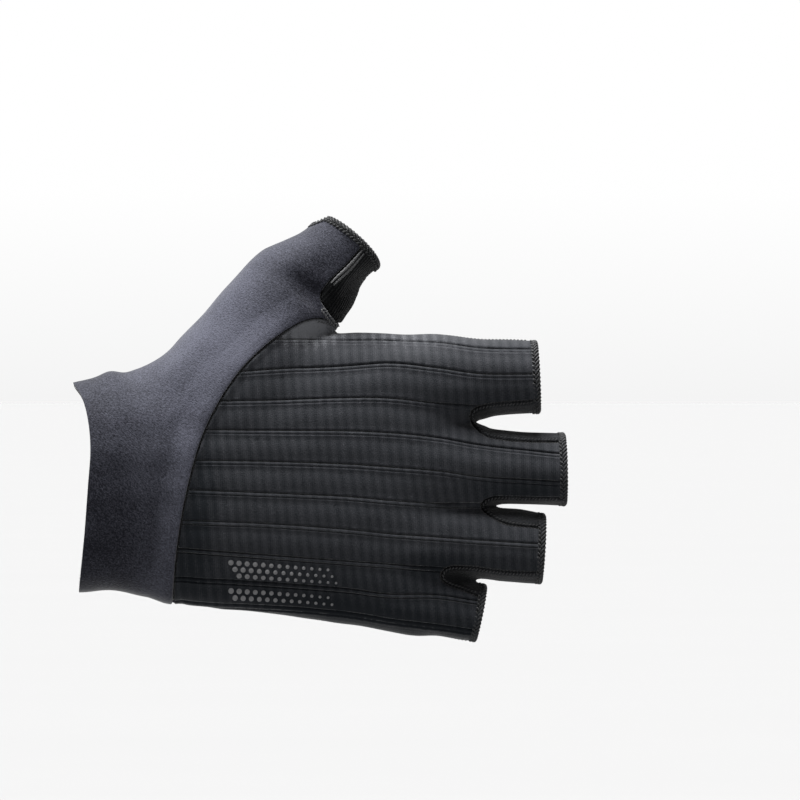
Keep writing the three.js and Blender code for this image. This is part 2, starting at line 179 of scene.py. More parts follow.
# How high a cloth lies at steps away from its seam, as pairs of distance and height.
SEAM_BOTTOM = -1.1
PLAIN_EDGE = [(0, SEAM_BOTTOM), (0.16, -0.5), (0.36, -0.1), (0.75, 0.05), (1.6, 0.05), (3.0, 0)]
CUFF_EDGE = [(0, SEAM_BOTTOM), (0.16, -0.9), (0.36, 0.42), (0.75, 0.6), (1.5, 0.66), (3.0, 0.62),
             (5.0, 0.3), (8.0, -0.1), (12, 0)]
BACK_EDGE = [(0, SEAM_BOTTOM), (0.16, -1.0), (0.36, -0.2), (0.75, 0.0), (1.2, -0.1), (2.6, -0.4),
             (6.0, -0.1), (9.0, 0)]
PIPED_EDGE = [(0, SEAM_BOTTOM), (0.16, -0.6), (0.36, -0.1), (0.75, 0.0), (2.1, 0.0), (2.7, -0.2), (4, 0)]
BOUND_EDGE = [(0, SEAM_BOTTOM), (0.16, -0.5), (0.36, -0.05), (0.75, 0.22), (1.5, 0.3), (2.2, 0.15), (3.4, 0)]

# Height of the back across a rib, at distances below the rib's line.
RIB_PROFILE = [(-0.6, 0.02), (-0.3, -0.14), (0, -0.85), (0.28, -0.14), (0.5, 0.1), (0.95, 0.12),
               (1.25, 0.12), (1.55, 0.14), (1.85, 0.12), (2.2, 0.03), (2.9, 0.02)]
SECOND_LINE = [(0.95, 0), (1.25, -0.55), (1.55, 0)]  # at its deepest, near the little finger's side
SECOND_DEPTH = (0.35, 12.0, -14.0)  # its share near the thumb, and the heights z between which it grows
RIB_CROWN = 0.25  # how high the cloth between two ribs bulges
RIB_SPACING = 9.4
RIB_FADE = 7.0  # over how much a rib fades out before its end
RIB_APART = 0.5  # how far a crown stops before the next rib
PAST_RIB = 1.0  # how far past a rib's end the cloth is cut for it

# The cloths' walls.
WALL = 1.2
CLOTH_SHARP = 50  # here and below, the least angle in degrees at which an edge stays sharp
THICKER = 0.2  # how much of a raised edge the wall is made thinner inside, at most
SHARE_LEFT = 0.66  # of a cloth's triangles, once its inner face is thinned out

# Threads.
THREAD = 0.17  # radius of a thread
THREAD_SIDES = 6
THREAD_SHARP = 80
TIP_REACH = 0.6  # how far its tip reaches past its end, and how thin it is, as shares of the radius
TIP_SIZE = 0.45

# The hem, whose section is given as pairs of distance before the mouth and height.
HEM_STITCH = 1.35
HEM_POINTS = 4  # round the hem, for each of its stitches
HEM_WAVE = (0.13, 0.05)  # how far the edge is drawn in and raised between stitches
HEM_WAVE_REACH = 0.8
HEM_WIDTH = 2.7
HEM_PROFILE = [(2.5, -0.3), (2.45, -0.02), (2.2, 0.06), (1.85, 0.02), (1.7, -0.16), (1.5, -0.05), (0.8, 0.0),
               (0.35, -0.15), (0.15, -0.5), (0.3, -1.0), (0.8, -1.35), (2.4, -1.45), (2.5, -1.2)]
# A stitch of the hem, as steps along the mouth, distance before it and height.
INNER_STITCH = [(0.7, 2.45, -0.1), (0.58, 2.3, 0.16), (0.4, 2.0, 0.16), (0.28, 1.85, -0.05)]
OUTER_STITCH = [(-0.25, 1.65, -0.1), (0.05, 1.4, 0.2), (0.6, 0.9, 0.22), (1.0, 0.5, 0.0), (1.12, 0.35, -0.3)]
OVERLOCK_THICK = 1.55  # here and below, how thick a thread is, times THREAD
OVERLOCK_FLAT = 0.75

# A stitch along a seam and one across it, as pairs of a share of its length and a height.
LONG_STITCH = np.array([(-0.5, -0.12), (-0.2, 0), (0.2, 0), (0.5, -0.12)])
CROSS_STITCH = np.array([(-1, -0.12), (-0.6, 0.12), (0, 0.2), (0.6, 0.12), (1, -0.12)])
CROSS_LEAN = 0.35
CROSS_THICK = 1.2

# Rows of stitches beside a line: how far to its left, spacing, length, height, thickness and slant
# in degrees.
YOKE_ROW = (-0.05, 1.15, 0.55, -0.2, 0.9, 0)
BOUND_ROWS = [(-0.7, 0.9, 0.85, 0.62, 1.5, 35), (-1.6, 0.9, 0.85, 0.72, 1.5, -35)]
CORNER_ROW = (-1.0, 0.85, 0.7, 0.1, 1.2, 30)
FINGER_ROW = (-0.35, 1.05, 0.6, 0.02, 1, -20)
STRIP_ROW = (0.55, 1.05, 0.7, 0.12, 1.3, 30)
UNDER_STRIP_ROW = (-0.6, 1.9, 1.3, 0.06, 1, 0)
PALM_ROW = (-0.9, 2.2, 1.5, 0.06, 1, 0)
PALM_LINE = [(PALM_SEAM_X, -33.0), (PALM_SEAM_X, 39.0)]
FINE_STEP = 0.5  # between the points of a line that is sewn or laid along

# Cords in a seam: how far to its left, radius and height. A cord is thinner at its ends, and beaded.
CORD_SIZE = (0.45, 0.55)  # at its ends, and by how much more in its middle
CORD_BEADS = (0.22, 2.1)  # their height, and the angle from one point to the next
CORD_FLAT = 0.8
YOKE_CORD = (0.0, 0.24, -0.55)
PIPES = [(0.6, 0.5, 0.15), (1.65, 0.5, 0.15)]
FINGER_CORD = (0.0, 0.24, -0.6)
PIPED_Z = 62.5  # the thumb's seam is piped above this, and bound below the next
BOUND_Z = 56.5
CORNER_X = 72.5

# Stitches across the side seams: the finger they run up to, from which x, and above z 0 or below it.
SIDE_ROWS = (("index", 86.0, 1), ("little", 31.5, -1))
SIDE_SPACING = 1.1
SIDE_REACH = 0.85
SIDE_STOP = 0.4  # how far before the hem

# The field of dots: the ribs below which it lies, with the rows below each, and its dots.
PRINT_ROWS = ((7, 3), (8, 2))
PRINT_BELOW = 3.2
PRINT_X = (46.0, 84.0)
PRINT_RADII = (0.95, 0.35)  # at the two ends of PRINT_X
PRINT_RISE = 0.16
PRINT_SUNK = -0.1
DOTS_IN_ROW = 13
DOT_PITCH = (2.5, 1.95)  # along a row, and from row to row
DOT_SIDES = 14
DOT_SHARP = 60
DOT_TOP = 0.75  # radius of a dot's flat top, as a share of its own

# The mesh that the cloths are cut from.
TUCKED = 1.0  # how far before its open end a cloth stops, inside the hem
SEAM_STEPS = (0.16, 0.36, 0.75)
CELL = 0.7
GRID_LOW = np.array([-9.0, -23.0, -52.0])
GRID_HIGH = np.array([156.0, 23.5, 90.0])
PALM_UNION = 3.0  # over how much the fingers and the palm run into each other
WEB_UNION = (4.5, 3.1)  # the same for the fingers, and how much less it is past their webs
WEB_X = (110, 122)  # where it becomes less
# Below the second z that is further out, by this share of how far a place lies below the first z.
WEB_SLANT = (0.25, -6, -12)
PALM_END = 5.0  # the radius at which the palm rounds off at its end
CROTCH = (80.0, 50.5)  # where the thumb parts from the index finger
THUMB_UNION = 1.5  # the same for the thumb, at the crotch, and how it changes between two distances from it
THUMB_UNION_STEPS = ((3, 30, 8.5), (38, 62, -6.0))
RELAX_ROUNDS = 3
LINE_STEP = 1.5
SLOPE_STEP = 0.05
LEAST_SLOPE = 0.15
BATCH = 20000  # how many points are compared with a line at once
MOUTH_POINTS = 721
SNAP_REACH = 0.3 * CELL  # points as near as this to a line move onto it
TOUCH = 0.03  # and as near as this, they lie on it
ON_SURFACE = 0.2  # points as near as this to the surface lie on it
THUMB_AREA = (80.0, 55.0, 34.0)  # a circle (x, z, radius) that holds the thumb's seams
THUMB_Z = 60.0  # only the thumb is higher than this
WRIST_X = 10.0  # the wrist's edge lies before this
STRIPS_X = 105.0  # the strips between the fingers lie past this
FINGERS_X = 108.0  # and the fingers' open ends past this
SIDE_Z = 30.0  # the seams at the glove's two sides lie further out than this

# Where a cloth is lighter or darker: centre (x, z), two radii, turn in degrees and amount. All of these but
# the darker strip along the wrist's edge are painted light and shade.
CUFF_PAINTED_SHADING = [
    # painted light: the upper part of the cuff, which faces the light
    ((50, 42), (60, 60), 0, 0.35),
    # painted highlight on the cuff's raised edge along the yoke seam
    ((31, -6), (8, 44), 7, 0.18),
    # darker along the wrist's edge
    ((6.5, 4), (6.5, 44), -3, -0.03),
    # painted shade in the dents on the back of the thumb
    ((71.8, 60.5), (21, 15), 20, -0.24),
    # painted light on the cuff's lower part beside the yoke seam
    ((22.5, -25), (10, 25), 3, 0.16),
]
BACK_PAINTED_SHADING = [
    # painted shade over the lower part of the back, which turns away from the light
    ((70, -42), (90, 26), 0, -0.25),
    # painted light in the web between thumb and index finger, where the thumb shades it
    ((70, 49.5), (14.5, 8.5), -8, 0.75),
    # painted light along the back's upper edge at the index finger
    ((97, 46.5), (34, 5.5), 2, 0.24),
    # painted shade along the back's lower edge
    ((98, -43.5), (80, 6.5), 12, -0.25),
    # painted shade on the back beside the yoke seam, below the cuff's raised edge
    ((35, -12), (8, 36), 7, -0.32),
    # painted shade at the web between the ring and little fingers
    ((111, -24.5), (16, 6), 3, -0.3),
    # painted shade on the lower side of the index finger
    ((130, 26), (26, 6.5), 0, -0.16),
    # painted shade on the lower side of the middle finger
    ((139, -1.5), (26, 6.5), 0, -0.3),
    # painted shade on the lower side of the ring finger
    ((132, -26), (26, 6.5), 0, -0.2),
    # painted shade on the lower side of the little finger
    ((108, -48), (26, 6.5), 0, -0.2),
]
# painted shade in the hollow of the thumb's gusset
GUSSET_PAINTED_SHADE = [((78.5, 57), (6.5, 8), 0, -0.3)]
STRIP_PAINTED_SHADE = [
    # painted shade at the crotches of the strips between the fingers
    ((121.8, 21.4), (7, 4.5), 0, -0.4),
    ((126, -5.2), (7, 4.5), 0, -0.4),
    ((115, -27.4), (7, 4.5), 0, -0.4),
]

# The camera and the stage.
MM_PER_PIXEL = 0.31
PICTURE = 800  # pixels along each side
ORIGIN_PIXEL = (83, 487)  # where the frame's origin lies in the picture
LENS = 800.0
SENSOR = 36.0
FLOOR_BELOW = -70.0
FLOOR_SIZE = 2000.0
FLOOR_TONES = (0.198, 0.202)
HORIZON = 0.012  # where the bright walls begin and end, and where the ceiling begins, as sines of the angle
WALL_TOP = 0.13
CEILING = 0.25
CEILING_LIGHT = 0.08
HORIZON_LIGHT = 0.905  # as bright as the floor, so that the two meet without a line
KEY_WAY = (0.2, 0.1, -0.97)
KEY_SOFTNESS = 40.0
KEY_STRENGTH = 14.5
FAR = 1000.0  # a size in a look's space over which nothing changes


def smoothstep(low, high, value):
    """From 0 at the low value to 1 at the high one, without a kink."""
    t = np.clip((value - low) / (high - low), 0, 1)
    return t * t * (3 - 2 * t)


def unit(vectors):
    """Vectors brought to length 1."""
    return vectors / np.linalg.norm(vectors, axis=1, keepdims=True)


def ways(line):
    """The direction of a line at each of its points."""
    return unit(np.gradient(line, axis=0))


def left_of(way):
    """Directions (x, z) a quarter turn to the left of others."""
    return np.stack([-way[:, 1], way[:, 0]], 1)


def spline(rows, per=12):
    """A Catmull-Rom curve through rows of numbers, with per steps between each two of them."""
    rows = np.array(rows, float)
    rows = np.vstack([2 * rows[0] - rows[1], rows, 2 * rows[-1] - rows[-2]])
    t = np.linspace(0, 1, per, endpoint=False)[:, None]
    parts = []
    for a, b, c, d in zip(rows, rows[1:], rows[2:], rows[3:]):
        cubic = -a + 3 * b - 3 * c + d
        square = 2 * a - 5 * b + 4 * c - d
        parts.append(0.5 * (2 * b + (c - a) * t + square * t**2 + cubic * t**3))
    return np.vstack(parts + [rows[-2:-1]])


def even(points, step):
    """The same line with points an even step apart."""
    points = np.asarray(points, float)
    lengths = np.concatenate([[0], np.cumsum(np.linalg.norm(np.diff(points, axis=0), axis=1))])
    at = np.linspace(0, lengths[-1], max(2, round(lengths[-1] / step) + 1))
    return np.stack([np.interp(at, lengths, column) for column in points.T], 1)


def from_line(points, line):
    """Distance of points (x, z) from a line that goes on straight past its ends, positive on its left."""
    start = line[:-1]
    way = line[1:] - start
    square = (way**2).sum(1)
    low = np.zeros(len(way))
    high = np.ones(len(way))
    low[0] = -np.inf
    high[-1] = np.inf
    result = np.empty(len(points))
    for first in range(0, len(points), BATCH):
        part = slice(first, first + BATCH)
        off = points[part, None] - start
        t = np.clip((off * way).sum(2) / square, low, high)
        apart = ((off - t[..., None] * way) ** 2).sum(2)
        nearest = apart.argmin(1)
        each = np.arange(len(nearest))
        near_off = off[each, nearest]
        near_way = way[nearest]
        cross = near_way[:, 0] * near_off[:, 1] - near_way[:, 1] * near_off[:, 0]
        result[part] = np.sqrt(apart[each, nearest]) * np.where(cross < 0, -1, 1)
    return result


def section(row):
    """Of a tube's section: its half width, its direction (x, z) towards the thumb and its middle (x, z)."""
    ax, az, bx, bz = row[:4]
    half = np.hypot(ax - bx, az - bz) / 2
    return half, (ax - bx) / (2 * half), (az - bz) / (2 * half), (ax + bx) / 2, (az + bz) / 2


def section_map(rows, x, z):
    """For places (x, z): how far off the middle of a tube's section they are, the section's half width and
    other numbers, and how far they lie before the tube's start and after its end."""
    stations = spline(rows)
    ax, az, bx, bz = stations[:, :4].T
    before = (ax - bx) * (z[:, None] - bz) - (az - bz) * (x[:, None] - bx)
    before /= np.hypot(ax - bx, az - bz)
    last = len(stations) - 1
    reached = before >= 0
    at = np.clip(np.argmax(reached, 1), 1, last)
    at[~reached.any(1)] = last
    each = np.arange(len(x))
    past, ahead = before[each, at - 1], before[each, at]
    share = np.clip(past / (past - ahead), 0, 1)[:, None]
    row = (stations[at - 1] * (1 - share) + stations[at] * share).T
    half, across_x, across_z, middle_x, middle_z = section(row)
    off = (x - middle_x) * across_x + (z - middle_z) * across_z
    return off, half, *row[4:], before[:, 0], -before[:, last]


def soft_min(a, b, reach):
    """The smaller of two distances, with the step between them rounded over a reach."""
    near = np.maximum(reach - np.abs(a - b), 0) / reach
    return np.minimum(a, b) - near * near * reach / 4


def soft_max(a, b, reach):
    return -soft_min(-a, -b, reach)


CORNERS = [(i & 1, i >> 1 & 1, i >> 2 & 1) for i in range(8)]  # of a cell of the grid


class Form:
    """The outer form of the glove as a grid of distances, negative inside."""

    def __init__(self):
        self.axes = [np.arange(low, high, CELL) for low, high in zip(GRID_LOW, GRID_HIGH)]
        x, z = (side.ravel() for side in np.meshgrid(self.axes[0], self.axes[2], indexing="ij"))
        self.shape = (len(self.axes[0]), 1, len(self.axes[2]))
        tubes = {name: self.tube(name, x, z) for name in TUBES}
        self.grid = self.united(tubes, x.reshape(self.shape), z.reshape(self.shape)).astype(np.float32)
        self.slopes = np.gradient(self.grid, CELL)

    def united(self, tubes, x, z):
        """The distances from all the tubes, rounded where they meet."""
        wide, less = WEB_UNION
        slant, start, below = WEB_SLANT
        between_fingers = wide - less * smoothstep(*WEB_X, x + slant * (z - start) * (z < below))
        fingers = tubes["index"]
        for name in FINGERS[1:]:
            fingers = soft_min(fingers, tubes[name], between_fingers)
        without_thumb = soft_min(tubes["palm"], fingers, PALM_UNION)
        from_crotch = np.hypot(x - CROTCH[0], z - CROTCH[1])
        thumb_union = THUMB_UNION
        for low, high, change in THUMB_UNION_STEPS:
            thumb_union = thumb_union + change * smoothstep(low, high, from_crotch)
        return soft_min(without_thumb, tubes["thumb"], thumb_union)

    def tube(self, name, x, z):
        """The grid of distances from one tube, with places x and z of the grid's columns."""
        places = (value.reshape(self.shape) for value in section_map(TUBES[name], x, z))
        off, half, back, palm, mid, power, start, after_end = places
        y = self.axes[1][None, :, None] - mid
        reach = np.where(y > 0, palm, back)
        across = np.abs(off) / half
        along = np.abs(y) / reach
        gauge = np.maximum((across**power + along**power) ** (1 / power), 1e-3)
        slope = np.hypot((across / gauge) ** (power - 1) / half, (along / gauge) ** (power - 1) / reach)
        distance = (gauge - 1) / slope
        distance = np.where(start > 0, np.where(distance > 0, np.hypot(distance, start), start), distance)
        return soft_max(distance, after_end, PALM_END) if name == "palm" else distance

    def sample(self, grid, points):
        at = np.clip((points - GRID_LOW) / CELL, 0, np.array(grid.shape) - 1.001)
        low = at.astype(int)
        share = at - low
        total = 0
        for step in CORNERS:
            weight = np.prod(np.where(step, share, 1 - share), 1)
            total = total + weight * grid[tuple((low + step).T)]
        return total

    def normals(self, points):
        return unit(np.stack([self.sample(slope, points) for slope in self.slopes], 1))

    def settle(self, points, rounds=2):
        """Points moved onto the surface along its normal."""
        for _ in range(rounds):
            points = points - self.normals(points) * self.sample(self.grid, points)[:, None]
        return points

    def on_face(self, spots, side):
        """The points of the surface at places (x, z), seen from the back (side -1) or the palm (side 1)."""
        depths = self.axes[1] if side < 0 else self.axes[1][::-1]
        count = len(depths)
        x, z = np.repeat(spots, count, axis=0).T
        y = np.tile(depths, len(spots))
        values = self.sample(self.grid, np.stack([x, y, z], 1)).reshape(len(spots), count)
        first = np.clip(np.argmax(values < 0, 1), 1, count - 1)
        each = np.arange(len(spots))
        outside, inside = values[each, first - 1], values[each, first]
        share = np.clip(outside / (outside - inside + 1e-9), 0, 1)
        y = depths[first - 1] + (depths[first] - depths[first - 1]) * share
        return np.stack([spots[:, 0], y, spots[:, 1]], 1)


def net_points(grid, active, part):
    """For every active cell, the middle of the places where its edges cross zero."""
    total = np.zeros((active.sum(), 3))
    crossings = np.zeros(active.sum())
    for a in CORNERS:
        for axis in [i for i in range(3) if not a[i]]:
            b = tuple(1 if i == axis else o for i, o in enumerate(a))
            value_a, value_b = grid[part[a]][active], grid[part[b]][active]
            crossed = (value_a < 0) != (value_b < 0)
            share = np.where(crossed, value_a / np.where(crossed, value_a - value_b, 1), 0)
            point = np.tile(np.array(a, float), (len(share), 1))
            point[:, axis] += share
            total += point * crossed[:, None]
            crossings += crossed
    return np.argwhere(active) + total / crossings[:, None]


def net_faces(inside, index):
    """Triangles that join the cells, by their index, round every edge of the grid that crosses zero."""
    faces = []
    for axis in range(3):
        u, v = [i for i in range(3) if i != axis]
        here = [slice(1, -1)] * 3
        here[axis] = slice(0, -1)
        there = list(here)
        there[axis] = slice(1, None)
        starts, ends = inside[tuple(here)], inside[tuple(there)]
        crossing = np.argwhere(starts != ends)
        leaves = starts[tuple(crossing.T)]
        crossing = crossing + np.array([0 if i == axis else 1 for i in range(3)])
        cells = []
        for du, dv in ((-1, -1), (0, -1), (0, 0), (-1, 0)):
            cell_at = crossing.copy()
            cell_at[:, u] += du
            cell_at[:, v] += dv
            cells.append(index[tuple(cell_at.T)])
        quad = np.stack(cells, 1)
        turn = leaves if axis != 1 else ~leaves
        faces.append(np.where(turn[:, None], quad, quad[:, ::-1]))
    quads = np.vstack(faces)
    return np.vstack([quads[:, [0, 1, 2]], quads[:, [0, 2, 3]]])


def surface_net(grid):
    """Points and triangles of the surface where the grid of distances is zero."""
    inside = grid < 0
    sizes = [length - 1 for length in grid.shape]
    part = {c: tuple(slice(o, o + n) for o, n in zip(c, sizes)) for c in CORNERS}
    count = sum(inside[part[c]].astype(np.int8) for c in CORNERS)
    active = (count > 0) & (count < 8)
    index = np.full(sizes, -1)
    index[active] = np.arange(active.sum())
    return GRID_LOW + net_points(grid, active, part) * CELL, net_faces(inside, index)


class Mesh:
    """Triangles with fields of numbers at their points, which can be cut where a field is zero."""

    def __init__(self, points, faces, fields=None):
        self.points = points
        self.faces = faces
        self.fields = fields or {}

    def relax(self, form, rounds):
        """Evens out the points along the surface."""
        edges = self.edges()[0]
        starts, stops = np.concatenate([edges, edges[:, ::-1]]).T
        count = np.bincount(starts, minlength=len(self.points))[:, None]
        for _ in range(rounds):
            total = [np.bincount(starts, self.points[stops, i], len(self.points)) for i in range(3)]
            middle = np.stack(total, 1) / count
            self.points = form.settle(self.points + 0.5 * (middle - self.points), 1)

    def snap(self, function, form, where=None):
        """Moves the points that nearly lie where a function is zero onto that line."""
        near = np.abs(function(self.points)) < SNAP_REACH
        if where is not None:
            near &= where(self.points)
        points = self.points[near]
        for _ in range(2):
            normal = form.normals(points)
            slope = slope_of(function, points)
            slope -= (slope * normal).sum(1, keepdims=True) * normal
            size = np.maximum((slope**2).sum(1, keepdims=True), LEAST_SLOPE)
            points = form.settle(points - function(points)[:, None] * slope / size, 1)
        self.points[near] = points

    def split(self, values, where=None):
        """Cuts the triangles where values at the points pass zero, at edges whose cut is allowed."""
        values = np.where(np.abs(values) < TOUCH, 0, values)
        count = len(self.points)
        ends = np.roll(self.faces, -1, axis=1)
        crosses = values[self.faces] * values[ends] < 0
        touched = np.nonzero(crosses.any(1))[0]
        low = np.minimum(self.faces, ends)[touched]
        high = np.maximum(self.faces, ends)[touched]
        keys, inverse = np.unique((low * count + high)[crosses[touched]], return_inverse=True)
        low, high = keys // count, keys % count
        share = values[low] / (values[low] - values[high])
        middle = mix(self.points[low], self.points[high], share)
        allowed = np.ones(len(keys), bool) if where is None else where(middle)
        number = np.where(allowed, count - 1 + np.cumsum(allowed), -1)
        fresh = np.full((len(touched), 3), -1)
        fresh[crosses[touched]] = number[inverse]
        cut = fresh >= 0
        once = cut.sum(1) == 1
        twice = cut.sum(1) == 2
        p, q, r, new = turned(self.faces[touched][once], fresh[once], np.argmax(cut[once], 1))
        whole = [np.stack([p, new[0], r], 1), np.stack([new[0], q, r], 1)]
        p, q, r, new = turned(self.faces[touched][twice], fresh[twice], (np.argmin(cut[twice], 1) + 2) % 3)
        whole += [np.stack(abc, 1) for abc in ((p, new[0], new[2]), (new[0], q, r), (new[0], r, new[2]))]
        kept = np.ones(len(self.faces), bool)
        kept[touched[once | twice]] = False
        self.points = np.vstack([self.points, middle[allowed]])
        for name, field in self.fields.items():
            self.fields[name] = np.concatenate([field, mix(field[low], field[high], share)[allowed]])
        self.faces = np.vstack([self.faces[kept], *whole])

    def middles(self):
        return self.points[self.faces].mean(1)

    def middle_field(self, name):
        return self.fields[name][self.faces].mean(1)

    def part(self, chosen):
        """A mesh of the chosen triangles only."""
        used, faces = np.unique(self.faces[chosen], return_inverse=True)
        fields = {name: field[used] for name, field in self.fields.items()}
        return Mesh(self.points[used], faces.reshape(-1, 3), fields)

    def edges(self):
        """Every edge's two points, as its triangle runs, its number and the number of its reverse."""
        edges = np.vstack([self.faces[:, [0, 1]], self.faces[:, [1, 2]], self.faces[:, [2, 0]]])
        count = len(self.points)
        return edges, edges[:, 0] * count + edges[:, 1], edges[:, 1] * count + edges[:, 0]

    def rim(self):
        """The edges that only one triangle has."""
        edges, ahead, back = self.edges()
        return edges[~np.isin(ahead, back)]


def mix(a, b, share):
    share = share.reshape(-1, *[1] * (a.ndim - 1))
    return a * (1 - share) + b * share


def turned(faces, fresh, first):
    """Corners and new edge points of triangles, counted from each one's given first corner."""
    each = np.arange(len(faces))
    corners = [faces[each, (first + i) % 3] for i in range(3)]
    return (*corners, [fresh[each, (first + i) % 3] for i in range(3)])


def slope_of(function, points):
    """The slope in space of a function of points."""
    steps = SLOPE_STEP * np.eye(3)
    return np.stack([(function(points + to) - function(points - to)) / (2 * SLOPE_STEP) for to in steps], 1)


def flat_curve(points):
    return even(spline(points), LINE_STEP)


YOKE = np.vstack([flat_curve(YOKE_SEAM), FROM_CROTCH])
GUSSET = flat_curve(GUSSET_SEAM)
THUMB_ROOT = np.vstack([flat_curve(THUMB_ROOT_SEAM), FROM_CROTCH])
WRIST = flat_curve(WRIST_EDGE)
FOURCHETTES = {name: flat_curve(seam) for name, seam in FOURCHETTE_SEAMS.items()}


def past_side(points):
    """How far points lie on the palm's side of the seam that runs round the glove's edge."""
    y, turn, slope = SIDE_SEAM_Y
    return points[:, 1] - y - slope * np.maximum(points[:, 2] - turn, 0)


def along_line(line):
    return lambda points: from_line(points[:, [0, 2]], line)


def mouth_reach(name, off, depth):
    """How far a mouth reaches past its plain end, at shares across it, up to 1 above, and of its depth."""
    reach = -MOUTH_LEAN[name] * np.clip(depth, -1, 1)
    if name == "thumb":
        drawn = np.where(depth > 0, smoothstep(*NOTCH_PALM, off), smoothstep(*NOTCH_BACK, off))
        reach = np.where(depth > 0, 0, reach) - THUMB_NOTCH * drawn
    return reach


def before_end(name, by):
    """A function of how far points lie before a line round a tube, some way before its open end."""
    row = TUBES[name][-1]
    back, palm, mid = row[4:7]
    half, across_x, across_z, middle_x, middle_z = section(row)

    def distance(points):
        x, y, z = points.T
        off = ((x - middle_x) * across_x + (z - middle_z) * across_z) / half
        depth = (y - mid) / np.where(y > mid, palm, back)
        return (z - row[1]) * across_x - (x - row[0]) * across_z + mouth_reach(name, off, depth) - by

    return distance


def rib_height(rib, x):
    curve = spline(np.stack([RIB_X, rib[1]], 1))
    return np.interp(x, curve[:, 0], curve[:, 1])


def below_rib(rib):
    """A function of how far points lie below a rib's line."""

    def distance(points):
        x = points[:, 0]
        slope = (rib_height(rib, x + 2) - rib_height(rib, x - 2)) / 4
        return (rib_height(rib, x) - points[:, 2]) / np.sqrt(1 + slope**2)

    return distance


def on_back(points):
    return past_side(points) < 0


def on_palm(points):
    return past_side(points) > 0


def by_thumb(points):
    x, z, radius = THUMB_AREA
    return np.hypot(points[:, 0] - x, points[:, 2] - z) < radius


def by_finger(name):
    """A function of whether points lie on a finger, past the strips between the fingers."""
    above, below = BETWEEN[FINGERS.index(name)], BETWEEN[FINGERS.index(name) + 1]

    def near(points):
        x, z = points[:, 0], points[:, 2]
        return (x > FINGERS_X) & (z < np.interp(x, BETWEEN_X, above)) & (z > np.interp(x, BETWEEN_X, below))

    return near


def seam_lines():
    """For every line that is cut: a function of points that is zero on it, and where it is cut."""
    lines = {
        "side": (past_side, None),
        "yoke": (along_line(YOKE), on_back),
        "gusset": (along_line(GUSSET), lambda p: on_back(p) & by_thumb(p)),
        "root": (along_line(THUMB_ROOT), on_palm),
        "palm": (lambda p: p[:, 0] - PALM_SEAM_X, on_palm),
        "wrist": (along_line(WRIST), lambda p: p[:, 0] < WRIST_X),
        "end_thumb": (before_end("thumb", TUCKED), lambda p: p[:, 2] > THUMB_Z),
    }
    for name, line in FOURCHETTES.items():
        lines[name] = (along_line(line), lambda p: p[:, 0] > STRIPS_X)
    for name in FINGERS:
        lines["end_" + name] = (before_end(name, TUCKED), by_finger(name))
    return lines


def cut_skin(form):
    """The glove's outer surface, cut along its seams and edges."""
    skin = Mesh(*surface_net(form.grid))
    skin.relax(form, RELAX_ROUNDS)
    lines = seam_lines()
    for function, where in lines.values():
        skin.snap(function, form, where)
    skin.fields = {name: function(skin.points) for name, (function, _) in lines.items()}
    for name, (_, where) in lines.items():
        skin.split(skin.fields[name], where)
    for name in ("yoke", "gusset", "root", "palm", "side", *FOURCHETTES):
        for step in SEAM_STEPS:
            skin.split(skin.fields[name] + step, lines[name][1])
            skin.split(skin.fields[name] - step, lines[name][1])
    return skin


def name_cloths(skin):
    """The name of the cloth that each triangle belongs to, or an empty name past an edge."""
    middles = skin.middles()
    field = skin.middle_field
    back = field("side") < 0
    past_root = np.where(back, (field("gusset") > 0) & by_thumb(middles), field("root") > 0)
    cuff = np.where(back, field("yoke") > 0, middles[:, 0] < PALM_SEAM_X)
    names = np.where(back, "back_panel", "palm_panel").astype("U32")
    names[cuff] = "cuff_panel"
    names[past_root & (cuff | ~back)] = "thumb_gusset"
    for name in FOURCHETTES:
        names[(field(name) > 0) & (middles[:, 0] > STRIPS_X)] = name
    names[field("wrist") < 0] = ""
    names[(field("end_thumb") < 0) & (middles[:, 2] > THUMB_Z)] = ""
    for name in FINGERS:
        names[(field("end_" + name) < 0) & by_finger(name)(middles)] = ""
    return names


def seams_of(skin, names):
    """For every cloth, points along its seams and the name of the cloth beyond each of them."""
    edges, ahead, back = skin.edges()
    triangle = np.tile(np.arange(len(skin.faces)), 3)
    order = np.argsort(ahead)
    place = np.clip(np.searchsorted(ahead[order], back), 0, len(order) - 1)
    other = order[place]
    met = ahead[other] == back
    own, beyond = names[triangle], names[triangle[other]]
    seam = met & (own != beyond) & (own != "") & (beyond != "")
    seams = {}
    shares = (0, 0.2, 0.4, 0.6, 0.8)
    for name in set(own[seam]):
        chosen = seam & (own == name)
        a, b = skin.points[edges[chosen, 0]], skin.points[edges[chosen, 1]]
        points = np.vstack([a * (1 - share) + b * share for share in shares])
        seams[name] = (points, np.tile(beyond[chosen], len(shares)))
    return seams


def edge_profile(cloth, beyond, back):
    """How a cloth's edge lies, next to the cloth beyond it and on the back half or the palm's half."""
    if (cloth, beyond) == ("cuff_panel", "back_panel"):
        return CUFF_EDGE
    if (cloth, beyond) == ("back_panel", "cuff_panel"):
        return BACK_EDGE
    if cloth == "thumb_gusset" and back:
        return PIPED_EDGE
    return BOUND_EDGE if cloth in FOURCHETTES else PLAIN_EDGE


def seam_relief(cloth, points, seam):
    """How far a cloth's seams raise or lower its points."""
    seam_points, beyond = seam
    back = past_side(points) < 0
    relief = np.zeros(len(points))
    for other in sorted(set(beyond)):
        near = seam_points[beyond == other]
        tree = KDTree(len(near))
        for i, point in enumerate(near):
            tree.insert(point, i)
        tree.balance()
        distance = np.array([tree.find(point)[2] for point in points])
        for half in (True, False):
            profile = np.array(edge_profile(cloth, other, half), float)
            relief[back == half] += np.interp(distance[back == half], profile[:, 0], profile[:, 1])
    return relief


